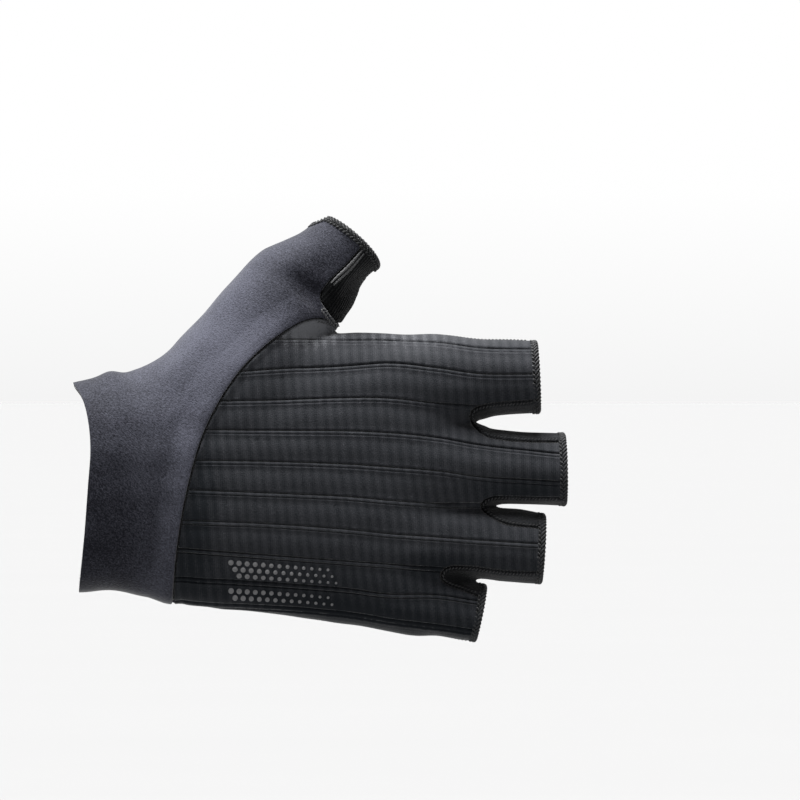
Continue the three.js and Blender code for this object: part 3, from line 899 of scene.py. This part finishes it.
def fold_relief(points, normals):
    """The folds and dents of the back, and the slight unevenness of all the cloth."""
    relief = np.zeros(len(points))
    x, z = points[:, 0], points[:, 2]
    facing = smoothstep(*FOLD_FACING, -normals[:, 1] + 0.5 * np.abs(normals[:, 2]))
    facing = np.where(past_side(points) < FOLD_PAST_SIDE, facing, 0)
    for cx, cz, angle, length, width, height in FOLDS:
        c, s = math.cos(math.radians(angle)), math.sin(math.radians(angle))
        along = (x - cx) * c + (z - cz) * s
        across = -(x - cx) * s + (z - cz) * c
        relief += height * np.exp(-((along / length) ** 2) - (across / width) ** 2) * facing
    random = np.random.default_rng(WAVE_SEED)
    for size in WAVE_LENGTHS:
        for _ in range(WAVES_EACH):
            way = random.normal(size=3)
            way *= 2 * math.pi / size / np.linalg.norm(way)
            relief += WAVE_HEIGHT * size * np.sin(points @ way + random.uniform(0, 6.28))
    return relief


def rib_relief(points):
    """How far the ribs raise or lower points of the back."""
    profile, second = np.array(RIB_PROFILE), np.array(SECOND_LINE)
    least, high, low = SECOND_DEPTH
    depth = least + (1 - least) * smoothstep(-high, -low, -points[:, 2])
    relief = np.zeros(len(points))
    for rib in RIBS:
        below = below_rib(rib)(points)
        fade = 1 - smoothstep(rib[0] - RIB_FADE, rib[0], points[:, 0])
        relief += fade * np.interp(below, profile[:, 0], profile[:, 1], 0, 0)
        relief += fade * depth * np.interp(below, second[:, 0], second[:, 1], 0, 0)
        crown = np.clip((below - profile[-1, 0]) / (RIB_SPACING - profile[-1, 0] - RIB_APART), 0, 1)
        relief += fade * RIB_CROWN * np.sin(math.pi * crown)
    return relief


def cut_ribs(cloth):
    """Cuts the back along its ribs, so that their sharp lines stay sharp."""
    for rib in RIBS:
        cloth.fields["rib"] = below_rib(rib)(cloth.points)
        for at, _ in RIB_PROFILE:
            cloth.split(cloth.fields["rib"] - at, lambda p: p[:, 0] < rib[0] + PAST_RIB)


def thick(cloth, normals, fold, relief):
    """Points and faces of a cloth that is moved by its folds, with its outer face raised by relief."""
    depth = WALL - np.clip(relief, 0, THICKER)
    outer = cloth.points + normals * (fold + relief)[:, None]
    inner = cloth.points + normals * (fold - depth)[:, None]
    count = len(outer)
    a, b = cloth.rim().T
    rim = np.vstack([np.stack([b, a, a + count], 1), np.stack([b, a + count, b + count], 1)])
    faces = np.vstack([cloth.faces, cloth.faces[:, ::-1] + count, rim])
    return np.vstack([outer, inner]), faces


def add_object(name, data):
    thing = bpy.data.objects.new(name, data)
    bpy.context.scene.collection.objects.link(thing)
    return thing


def add_piece(name, points, faces, material, slot, sharp=CLOTH_SHARP):
    """A mesh object of points in millimetres, smooth but for its sharp edges."""
    a, b, c = points[faces].transpose(1, 0, 2)
    if (a * np.cross(b, c)).sum() < 0:
        faces = faces[:, ::-1]
    mesh = bpy.data.meshes.new(name)
    mesh.from_pydata(points * MM, [], faces)
    mesh.polygons.foreach_set("use_smooth", np.ones(len(mesh.polygons), bool))
    mesh.set_sharp_from_angle(angle=math.radians(sharp))
    mesh.materials.append(material)
    piece = add_object(name, mesh)
    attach(piece, BODY)
    return piece


def thin_out(piece, first, share):
    """Leaves a share of a piece's triangles, and takes the rest from the points numbered first and up."""
    inside = piece.vertex_groups.new(name="inside")
    inside.add(range(first, len(piece.data.vertices)), 1.0, "REPLACE")
    fewer = piece.modifiers.new("fewer", "DECIMATE")
    fewer.ratio = share
    fewer.vertex_group = inside.name
    full = piece.data
    evaluated = piece.evaluated_get(bpy.context.evaluated_depsgraph_get())
    piece.data = bpy.data.meshes.new_from_object(evaluated)
    piece.modifiers.clear()
    bpy.data.meshes.remove(full)


def add_cloths(form, materials):
    """Adds every cloth in place of its solid, and gives points along the seam between back and palm."""
    skin = cut_skin(form)
    names = name_cloths(skin)
    seams = seams_of(skin, names)
    looks = {
        "cuff_panel": ("cuff", "cuff_cloth"),
        "back_panel": ("back", "back_cloth"),
        "palm_panel": ("palm", "palm_cloth"),
    }
    for name in sorted(set(names) - {""}):
        cloth = skin.part(names == name)
        if name == "back_panel":
            cut_ribs(cloth)
        normals = form.normals(cloth.points)
        fold = fold_relief(cloth.points, normals)
        relief = seam_relief(name, cloth.points, seams[name])
        if name == "back_panel":
            relief += rib_relief(cloth.points)
        relief = np.maximum(relief, SEAM_BOTTOM)
        look, slot = looks.get(name, ("knit" if name == "thumb_gusset" else "strip", "knit"))
        piece = add_piece("cloth_" + name, *thick(cloth, normals, fold, relief), materials[look], slot)
        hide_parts(name)
        thin_out(piece, len(cloth.points), SHARE_LEFT)
    points, beyond = seams["back_panel"]
    return points[beyond == "palm_panel"]


def end_section(name, u, angles):
    """Points round a tube near its open end, at distances u before it."""
    rows = np.array(TUBES[name][-2:], float)
    middles = (rows[:, 0:2] + rows[:, 2:4]) / 2
    round_way = np.stack([np.cos(angles), np.sin(angles)])
    off, depth = np.sign(round_way) * np.abs(round_way) ** (2 / rows[1, 7])
    share = ((u - mouth_reach(name, off, depth)) / np.linalg.norm(middles[1] - middles[0]))[:, None]
    row = (rows[1] * (1 - share) + rows[0] * share).T
    half, across_x, across_z, middle_x, middle_z = section(row)
    side = half * off
    y = row[6] + np.where(depth > 0, row[5], row[4]) * depth
    return np.stack([middle_x + across_x * side, y, middle_z + across_z * side], 1)


class Mouth:
    """The open end of a finger or the thumb, to lay things round it."""

    def __init__(self, name, form):
        self.name = name
        self.form = form
        self.angles = np.linspace(0, 2 * math.pi, MOUTH_POINTS)
        ring = end_section(name, np.zeros(len(self.angles)), self.angles)
        self.run = np.concatenate([[0], np.cumsum(np.linalg.norm(np.diff(ring, axis=0), axis=1))])
        self.length = self.run[-1]

    def place(self, run, u, lift):
        """Points at distances round the mouth, u before it, and lifted off the surface."""
        run, u, lift = np.broadcast_arrays(np.asarray(run, float), u, lift)
        angles = np.interp(run.ravel() % self.length, self.run, self.angles)
        points = end_section(self.name, u.ravel().astype(float), angles)
        points = self.form.settle(points)
        return points + self.form.normals(points) * lift.reshape(-1, 1)


def loft(count, size, closed):
    """Triangles between count rings of size points each, closed where the last ring meets the first."""
    steps = np.arange(count if closed else count - 1)
    i, k = (side.ravel() for side in np.meshgrid(steps, np.arange(size), indexing="ij"))
    a, b = i * size + k, i * size + (k + 1) % size
    c, d = (i + 1) % count * size + (k + 1) % size, (i + 1) % count * size + k
    return np.vstack([np.stack([a, b, c], 1), np.stack([a, c, d], 1)])


class Threads:
    """Many short or long threads, gathered into one mesh."""

    def __init__(self):
        self.points = []
        self.faces = []
        self.count = 0

    def add(self, line, radius, up, flat=1.0):
        """A round thread along a line of points, with tapered ends, flattened along up."""
        way = ways(line)
        side = unit(np.cross(way, up))
        up = np.cross(side, way)
        size = np.full(len(line), radius, float)
        first = line[:1] - way[:1] * size[0] * TIP_REACH
        last = line[-1:] + way[-1:] * size[-1] * TIP_REACH
        line = np.vstack([first, line, last])
        side, up = (np.vstack([v[:1], v, v[-1:]]) for v in (side, up))
        size = np.concatenate([[size[0] * TIP_SIZE], size, [size[-1] * TIP_SIZE]])
        turn = np.arange(THREAD_SIDES) * 2 * math.pi / THREAD_SIDES
        rings = (
            line[:, None]
            + side[:, None] * (np.cos(turn) * size[:, None])[..., None]
            + up[:, None] * (np.sin(turn) * size[:, None] * flat)[..., None]
        )
        fan = np.arange(1, THREAD_SIDES - 1)
        end = (len(line) - 1) * THREAD_SIDES
        faces = np.vstack([
            loft(len(line), THREAD_SIDES, False)[:, [0, 2, 1]],
            np.stack([0 * fan, fan, fan + 1], 1),
            np.stack([end + 0 * fan, end + fan + 1, end + fan], 1),
        ])
        self.points.append(rings.reshape(-1, 3))
        self.faces.append(faces + self.count)
        self.count += len(line) * THREAD_SIDES

    def piece(self, name, material, slot):
        add_piece(name, np.vstack(self.points), np.vstack(self.faces), material, slot, THREAD_SHARP)


def add_hem(name, form, materials):
    """A turned band round an open end, and the threads that are sewn over it."""
    mouth = Mouth(name, form)
    count = round(mouth.length / HEM_STITCH)
    run = np.linspace(0, mouth.length, count * HEM_POINTS, endpoint=False)
    wave = np.cos(2 * math.pi * run * count / mouth.length)[:, None]
    u, lift = np.array(HEM_PROFILE).T
    edge = np.exp(-((u / HEM_WAVE_REACH) ** 2))
    drawn, raised = HEM_WAVE
    lift = (lift + raised * edge * wave).ravel()
    points = mouth.place(np.repeat(run, len(u)), (u - drawn * edge * wave).ravel(), lift)
    piece = add_piece("band_" + name, points, loft(len(run), len(u), True), materials["hem"], "hem_cloth")
    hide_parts("hem_" + name)

    threads = Threads()
    pitch = mouth.length / count
    for k in range(count):
        for stitch in (INNER_STITCH, OUTER_STITCH):
            along, u, lift = np.array(stitch).T
            line = mouth.place((k + along) * pitch, u, lift)
            threads.add(line, THREAD * OVERLOCK_THICK, form.normals(line), OVERLOCK_FLAT)
    threads.piece("overlock_" + name, materials["thread"], "hem_cloth")


def surface_at(form, spots, side):
    """Points and normals of the folded cloth at places (x, z), and which of them it really has."""
    points = form.on_face(spots, side)
    real = np.abs(form.sample(form.grid, points)) < ON_SURFACE
    real &= past_side(points) * side > 0
    real &= (points[:, 2] < THUMB_Z) | (before_end("thumb", HEM_WIDTH)(points) > 0)
    for name in FINGERS:
        real &= ~by_finger(name)(points) | (before_end(name, HEM_WIDTH)(points) > 0)
    normals = form.normals(points)
    return points + normals * fold_relief(points, normals)[:, None], normals, real


def sew(threads, form, line, row, side=-1):
    """A row of stitches beside a line (x, z), on the back (side -1) or the palm (side 1)."""
    aside, spacing, length, lift, thickness, lean = row
    line = even(line, FINE_STEP)
    middles = even(line + left_of(ways(line)) * aside, spacing)
    way = ways(middles)
    way = way * math.cos(math.radians(lean)) + left_of(way) * math.sin(math.radians(lean))
    shares, humps = LONG_STITCH.T
    spots = middles[:, None] + way[:, None] * (shares * length)[:, None]
    points, normals, real = surface_at(form, spots.reshape(-1, 2), side)
    points = points + normals * (lift + np.tile(humps, len(middles)))[:, None]
    points, normals = points.reshape(*spots.shape[:2], 3), normals.reshape(*spots.shape[:2], 3)
    for i in np.nonzero(real.reshape(spots.shape[:2]).all(1))[0]:
        threads.add(points[i], THREAD * thickness, normals[i])


def lay_cord(threads, form, line, cord):
    """A cord that tapers at both ends, beside a line (x, z) of the back."""
    aside, radius, lift = cord
    line = even(line, FINE_STEP)
    points, normals, real = surface_at(form, line + left_of(ways(line)) * aside, -1)
    points, normals = points[real], normals[real]
    along = np.linspace(0, 1, len(points))
    height, angle = CORD_BEADS
    beads = 1 + height * np.sin(np.arange(len(points)) * angle)
    size = radius * (CORD_SIZE[0] + CORD_SIZE[1] * np.sin(math.pi * along)) * beads
    threads.add(points + normals * lift, size, normals, CORD_FLAT)


def sew_across(threads, form, seam):
    """Stitches across a seam, which is given as points in any order, from one end of x to the other."""
    seam = seam[np.argsort(seam[:, 0])]
    x = np.arange(seam[0, 0], seam[-1, 0], 1.0)
    line = np.stack([x, *(np.interp(x, seam[:, 0], seam[:, i]) for i in (1, 2))], 1)
    centres = form.settle(even(spline(line, 4), SIDE_SPACING))
    way = ways(centres)
    side = np.cross(form.normals(centres), way)
    shares, humps = CROSS_STITCH.T
    for centre, along, across in zip(centres, way, side):
        points = form.settle(centre + shares[:, None] * (SIDE_REACH * across + CROSS_LEAN * along))
        normals = form.normals(points)
        lift = fold_relief(points, normals) + humps
        threads.add(points + normals * lift[:, None], THREAD * CROSS_THICK, normals)


def add_yoke_stitches(form, materials):
    threads = Threads()
    lay_cord(threads, form, YOKE[:-2], YOKE_CORD)
    sew(threads, form, YOKE[:-2], YOKE_ROW)
    threads.piece("stitches_yoke", materials["seam"], "back_cloth")


def add_gusset_stitches(form, materials):
    """The piped and the bound part of the thumb's seam, and the corner where it meets the yoke's."""
    threads = Threads()
    for pipe in PIPES:
        lay_cord(threads, form, GUSSET[GUSSET[:, 1] > PIPED_Z], pipe)
    for row in BOUND_ROWS:
        sew(threads, form, GUSSET[GUSSET[:, 1] < BOUND_Z], row)
    sew(threads, form, YOKE[:-2][YOKE[:-2, 0] > CORNER_X], CORNER_ROW)
    threads.piece("stitches_gusset", materials["glint"], "knit")


def add_finger_stitches(form, materials):
    """The seams round the strips between the fingers, on both sides of the seam."""
    fingers, strips = Threads(), Threads()
    for line in FOURCHETTES.values():
        lay_cord(fingers, form, line, FINGER_CORD)
        sew(fingers, form, line, FINGER_ROW)
        sew(strips, form, line, STRIP_ROW)
    fingers.piece("stitches_fingers", materials["seam"], "knit")
    strips.piece("stitches_strips", materials["thread"], "knit")


def add_side_stitches(form, side_seam, materials):
    threads = Threads()
    for name, first, thumb_side in SIDE_ROWS:
        seam = side_seam[(side_seam[:, 2] * thumb_side > SIDE_Z) & (side_seam[:, 0] > first)]
        sew_across(threads, form, seam[before_end(name, HEM_WIDTH + SIDE_STOP)(seam) > 0])
    threads.piece("stitches_sides", materials["thread"], "palm_cloth")


def add_palm_stitches(form, materials):
    threads = Threads()
    for line in FOURCHETTES.values():
        sew(threads, form, line, UNDER_STRIP_ROW, side=1)
    for line in (THUMB_ROOT[:-2], PALM_LINE):
        sew(threads, form, line, PALM_ROW, side=1)
    threads.piece("stitches_palm", materials["thread"], "palm_cloth")


def dot_spots(x, z, radius):
    """Places (x, z) of a dot's points: its middle, two rings, and its middle again for the point below."""
    turn = np.arange(DOT_SIDES) * 2 * math.pi / DOT_SIDES
    sizes = (DOT_TOP * radius, radius)
    rings = [np.stack([x + size * np.cos(turn), z + size * np.sin(turn)], 1) for size in sizes]
    return np.vstack([[[x, z]], *rings, [[x, z]]])


def dot_faces():
    """Triangles of a dot: its top, its slope and the cone below that closes it."""
    ring = np.arange(DOT_SIDES)
    after = (ring + 1) % DOT_SIDES
    inner, outer = 1 + ring, 1 + DOT_SIDES + ring
    inner_after, outer_after = 1 + after, 1 + DOT_SIDES + after
    below = 0 * ring + 1 + 2 * DOT_SIDES
    corners = ((0 * ring, inner, inner_after), (inner, outer, outer_after),
               (inner, outer_after, inner_after), (below, outer_after, outer))
    return np.vstack([np.stack(abc, 1) for abc in corners])


def add_print(form, materials):
    """A plain field of raised dots, which shrink towards the fingers."""
    height = np.repeat([PRINT_RISE, PRINT_RISE, PRINT_SUNK, PRINT_SUNK], [1, DOT_SIDES, DOT_SIDES, 1])
    points, faces = [], []
    places = [(rib, row, k) for rib, rows in PRINT_ROWS for row in range(rows) for k in range(DOTS_IN_ROW)]
    for rib, row, k in places:
        x = PRINT_X[0] + (k + 0.5 * row) * DOT_PITCH[0]
        z = rib_height(RIBS[rib], x) - PRINT_BELOW - DOT_PITCH[1] * row
        spots = dot_spots(x, z, float(np.interp(x, PRINT_X, PRINT_RADII)))
        at, normals, real = surface_at(form, spots, -1)
        if real.all():
            faces.append(len(at) * len(points) + dot_faces())
            points.append(at + normals * (height + rib_relief(at))[:, None])
    add_piece("print_dots", np.vstack(points), np.vstack(faces), materials["print"], "back_cloth",
              DOT_SHARP)


def set_stops(ramp, stops):
    """Gives a colour ramp its stops, which are pairs of a place and a colour."""
    elements = ramp.color_ramp.elements
    while len(elements) < len(stops):
        elements.new(0.5)
    for element, (at, colour) in zip(elements, stops):
        element.position = at
        element.color = (*colour, 1)


class Look:
    """A cloth's material, with helpers that make its pattern in the object's own space."""

    def __init__(self, name, roughness, sheen=0.0, sheen_roughness=0.5, specular=0.3):
        self.material = bpy.data.materials.new(name)
        self.material.use_nodes = True
        self.nodes = self.material.node_tree.nodes
        self.links = self.material.node_tree.links
        self.shader = self.nodes["Principled BSDF"]
        self.shader.inputs["Roughness"].default_value = roughness
        self.shader.inputs["Sheen Weight"].default_value = sheen
        self.shader.inputs["Sheen Roughness"].default_value = sheen_roughness
        self.shader.inputs["Specular IOR Level"].default_value = specular
        self.place = self.nodes.new("ShaderNodeTexCoord").outputs["Object"]

    def node(self, kind, inputs, **settings):
        """A node with settings, and with inputs that are linked to a socket or set to a value."""
        node = self.nodes.new("ShaderNode" + kind)
        for name, value in settings.items():
            setattr(node, name, value)
        for name, value in inputs.items():
            if isinstance(value, bpy.types.NodeSocket):
                self.links.new(value, node.inputs[name])
            else:
                node.inputs[name].default_value = value
        return node

    def mapped(self, centre, turn, size):
        """The object's space from a centre, turned in degrees, with sizes in millimetres as its units."""
        inputs = {
            "Vector": self.place,
            "Location": [MM * value for value in centre],
            "Rotation": [math.radians(angle) for angle in turn],
            "Scale": [MM * value for value in size],
        }
        return self.node("Mapping", inputs, vector_type="TEXTURE").outputs["Vector"]

    def noise(self, size, stretch=(1, 1, 1), turn=(0, 0, 0), detail=2.0):
        """Noise with grains of a size in millimetres, stretched and turned in degrees."""
        space = self.mapped((0, 0, 0), turn, [size * s for s in stretch])
        return self.node("TexNoise", {"Vector": space, "Scale": 1.0, "Detail": detail}).outputs["Fac"]

    def bands(self, period, turn, wobble, wobble_size=1.0):
        """Waves with a period in millimetres along x, turned in degrees."""
        inputs = {
            "Vector": self.mapped((0, 0, 0), turn, [period] * 3),
            "Scale": 2 * math.pi / 20,
            "Distortion": wobble,
            "Detail": 1.0,
            "Detail Scale": wobble_size,
        }
        return self.node("TexWave", inputs).outputs["Fac"]

    def ribs_along(self, centre, rise, count):
        """So many ribs round an axis through a centre, which rises from +x by some degrees."""
        space = self.mapped(centre, (0, 90 - rise, 0), (1, 1, 1))
        turn = self.node("TexGradient", {"Vector": space}, gradient_type="RADIAL").outputs["Fac"]
        wave = self.node("Math", {0: self.total((turn, count)), 1: 0.5}, operation="PINGPONG")
        return self.total((wave.outputs[0], 2.0))

    def tones(self, places):
        """For every place of painted light or shade, how near it is, from 1 at its centre to 0 at its radii,
        with its amount.
        """
        result = []
        for (x, z), (wide, high), turn, amount in places:
            space = self.mapped((x, 0, z), (0, turn, 0), (wide, FAR, high))
            near = self.node("TexGradient", {"Vector": space}, gradient_type="SPHERICAL")
            result.append((near.outputs["Fac"], amount))
        return result

    def total(self, *parts):
        """The sum of sockets, each times its own amount."""
        result = 0.0
        for socket, amount in parts:
            node = self.node("Math", {0: socket, 1: amount, 2: result}, operation="MULTIPLY_ADD")
            result = node.outputs[0]
        return result

    def colour(self, value, *stops):
        """Colours the surface by a socket, between stops that pair its value with a colour."""
        ramp = self.node("ValToRGB", {"Fac": value})
        set_stops(ramp, stops)
        self.links.new(ramp.outputs["Color"], self.shader.inputs["Base Color"])

    def bump(self, height, depth):
        """Raises the surface where a socket is high, by a depth in millimetres."""
        node = self.node("Bump", {"Height": height, "Strength": 1.0, "Distance": depth * MM})
        self.links.new(node.outputs["Normal"], self.shader.inputs["Normal"])


def cuff_look():
    """Smooth stretch cloth, bluish charcoal with a fine slanted grain."""
    look = Look("cuff_cloth", 0.75, 0.34, 0.35, 0.1)
    grain = look.noise(0.46, (2.0, 1, 0.85), (0, 45, 0), 1.0)
    speck = look.noise(0.42)
    cloud = look.noise(8.0)
    # the grain, speck and cloud are the cloth's own tone; the places listed above paint light and shade into
    # it
    tone = look.total((grain, 0.32), (speck, 0.53), (cloud, 0.14), *look.tones(CUFF_PAINTED_SHADING))
    dark, middle, light = (0.003, 0.0033, 0.0062), (0.0295, 0.0305, 0.04), (0.058, 0.0598, 0.078)
    look.colour(tone, (0.43, dark), (0.65, middle), (0.84, light))
    look.bump(look.total((grain, 1.0), (speck, 1.0)), 0.14)
    return look.material


def back_look():
    """Stretch cloth woven in very fine upright lines."""
    look = Look("back_cloth", 0.75, 0.22, 0.35, 0.1)
    lines = look.bands(0.62, (0, 0, 0), 1.0, 0.4)
    broad = look.bands(3.1, (0, -6, 0), 2.5, 0.35)
    speck = look.noise(0.3)
    # the lines, bands and speck are the cloth's own weave; the places listed above paint light into the web
    # between thumb and index finger and along the index finger's top, and shade on the fingers' lower sides,
    # at their webs and along the lower edge
    tone = look.total((lines, 0.08), (broad, 0.16), (speck, 0.76), *look.tones(BACK_PAINTED_SHADING))
    dark, middle, light = (0.0045, 0.006, 0.008), (0.0275, 0.0284, 0.0323), (0.11, 0.113, 0.122)
    look.colour(tone, (0.24, dark), (0.7, middle), (1.0, light))
    look.bump(look.total((lines, 0.25), (speck, 1.0)), 0.12)
    return look.material


def palm_look():
    """Suede-like cloth with a short nap."""
    look = Look("palm_cloth", 0.9, 0.12, 0.5, 0.1)
    nap = look.noise(0.5, detail=4.0)
    cloud = look.noise(7.0, detail=3.0)
    tone = look.total((nap, 0.6), (cloud, 0.4))
    look.colour(tone, (0.35, (0.0105, 0.011, 0.012)), (0.65, (0.023, 0.024, 0.0265)))
    look.bump(nap, 0.2)
    return look.material


def knit_look():
    """Open knit with ridges that run along the thumb."""
    look = Look("knit", 0.85, 0.08, 0.4, 0.06)
    ridges = look.ribs_along((78.0, 3.5, 66.0), 50.0, 60)
    loops = look.noise(0.4, (1.4, 1, 0.7))
    # the ridges and loops are the knit's own tone; the place listed above paints shade into the gusset's
    # hollow
    tone = look.total((ridges, 0.3), (loops, 0.7), *look.tones(GUSSET_PAINTED_SHADE))
    look.colour(tone, (0.36, (0.0015, 0.0017, 0.002)), (0.7, (0.017, 0.0175, 0.0185)))
    look.bump(look.total((ridges, 0.6), (loops, 0.9)), 0.32)
    return look.material


def strip_look():
    """Close knit between the fingers, with a fine speckle."""
    look = Look("finger_strip", 0.8, 0.12, 0.4, 0.08)
    loops = look.noise(0.45, (1, 1, 0.6), (0, 30, 0), 3.0)
    cloud = look.noise(3.5)
    # the loops and cloud are the knit's own tone; the places listed above paint shade at the crotches
    tone = look.total((loops, 0.75), (cloud, 0.25), *look.tones(STRIP_PAINTED_SHADE))
    look.colour(tone, (0.36, (0.002, 0.0023, 0.0027)), (0.64, (0.0215, 0.0225, 0.025)))
    look.bump(loops, 0.26)
    return look.material


def hem_look():
    look = Look("hem_cloth", 0.8, 0.2, 0.4, 0.12)
    speck = look.noise(0.3)
    look.colour(speck, (0.35, (0.0015, 0.0017, 0.002)), (0.65, (0.006, 0.0064, 0.0072)))
    look.bump(speck, 0.15)
    return look.material


def thread_look(name, dark, light):
    look = Look(name, 0.55, 0.15, 0.3, 0.3)
    twist = look.bands(0.3, (30, 0, 40), 1.0)
    look.colour(twist, (0.2, dark), (0.8, light))
    look.bump(twist, 0.06)
    return look.material


def print_look():
    look = Look("print", 0.45, specular=0.4)
    wear = look.noise(0.6, detail=4.0)
    look.colour(wear, (0.3, (0.085, 0.085, 0.088)), (0.6, (0.12, 0.12, 0.124)))
    look.bump(wear, 0.03)
    return look.material


def add_stage():
    """A wide floor, well below the glove."""
    low = (GRID_LOW[2] + FLOOR_BELOW) * MM
    corners = [(x * FLOOR_SIZE, y * FLOOR_SIZE, low) for x, y in ((-1, -1), (1, -1), (1, 1), (-1, 1))]
    mesh = bpy.data.meshes.new("floor")
    mesh.from_pydata(corners, [], [(0, 1, 2, 3)])
    look = Look("floor", 0.9, specular=0.1)
    look.colour(look.noise(400.0), *((at, [tone] * 3) for at, tone in enumerate(FLOOR_TONES)))
    mesh.materials.append(look.material)
    add_object("floor", mesh)


def add_world():
    """A studio with white walls, which are bright up to a little above the camera, and a dim ceiling."""
    world = bpy.data.worlds.new("studio")
    world.use_nodes = True
    nodes, links = world.node_tree.nodes, world.node_tree.links
    way = nodes.new("ShaderNodeTexCoord")
    parts = nodes.new("ShaderNodeSeparateXYZ")
    ramp = nodes.new("ShaderNodeValToRGB")
    links.new(way.outputs["Generated"], parts.inputs["Vector"])
    links.new(parts.outputs["Z"], ramp.inputs["Fac"])
    levels = ((0.0, HORIZON_LIGHT), (HORIZON, 1.0), (WALL_TOP, 1.0), (CEILING, CEILING_LIGHT))
    set_stops(ramp, [(at, [level] * 3) for at, level in levels])
    links.new(ramp.outputs["Color"], nodes["Background"].inputs["Color"])
    bpy.context.scene.world = world
    bpy.context.scene.view_settings.view_transform = "Standard"


def add_key_light():
    """A wide soft light from above."""
    data = bpy.data.lights.new("key", "SUN")
    data.angle = math.radians(KEY_SOFTNESS)
    data.energy = KEY_STRENGTH
    add_object("key", data).rotation_euler = Vector(KEY_WAY).to_track_quat("-Z", "Y").to_euler()


def add_camera():
    """A long lens, level and square on to the back, at the photograph's scale and framing."""
    data = bpy.data.cameras.new("camera")
    data.sensor_width = SENSOR
    data.lens = LENS
    wide = PICTURE * MM_PER_PIXEL * MM
    camera = add_object("camera", data)
    x, z = (PICTURE / 2 - ORIGIN_PIXEL[0]) * MM_PER_PIXEL, (ORIGIN_PIXEL[1] - PICTURE / 2) * MM_PER_PIXEL
    camera.location = (x * MM, -wide * data.lens / data.sensor_width, z * MM)
    camera.rotation_euler = (math.pi / 2, 0, 0)
    bpy.context.scene.camera = camera


def build():
    materials = {
        "cuff": cuff_look(),
        "back": back_look(),
        "palm": palm_look(),
        "knit": knit_look(),
        "hem": hem_look(),
        "thread": thread_look("thread", (0.007, 0.0073, 0.008), (0.028, 0.0287, 0.0303)),
        "strip": strip_look(),
        # light grey thread, its colour made lighter still as a painted highlight on the raised piping and
        # binding
        "glint": thread_look("light_thread", (0.03, 0.0305, 0.0315), (0.1, 0.101, 0.104)),
        "seam": thread_look("seam_thread", (0.0015, 0.0015, 0.0017), (0.008, 0.0082, 0.0088)),
        "print": print_look(),
    }
    form = Form()
    side_seam = add_cloths(form, materials)
    for name in OPEN_ENDS:
        add_hem(name, form, materials)
    add_yoke_stitches(form, materials)
    add_gusset_stitches(form, materials)
    add_finger_stitches(form, materials)
    add_side_stitches(form, side_seam, materials)
    add_palm_stitches(form, materials)
    add_print(form, materials)


build()
add_stage()
add_world()
add_key_light()
add_camera()
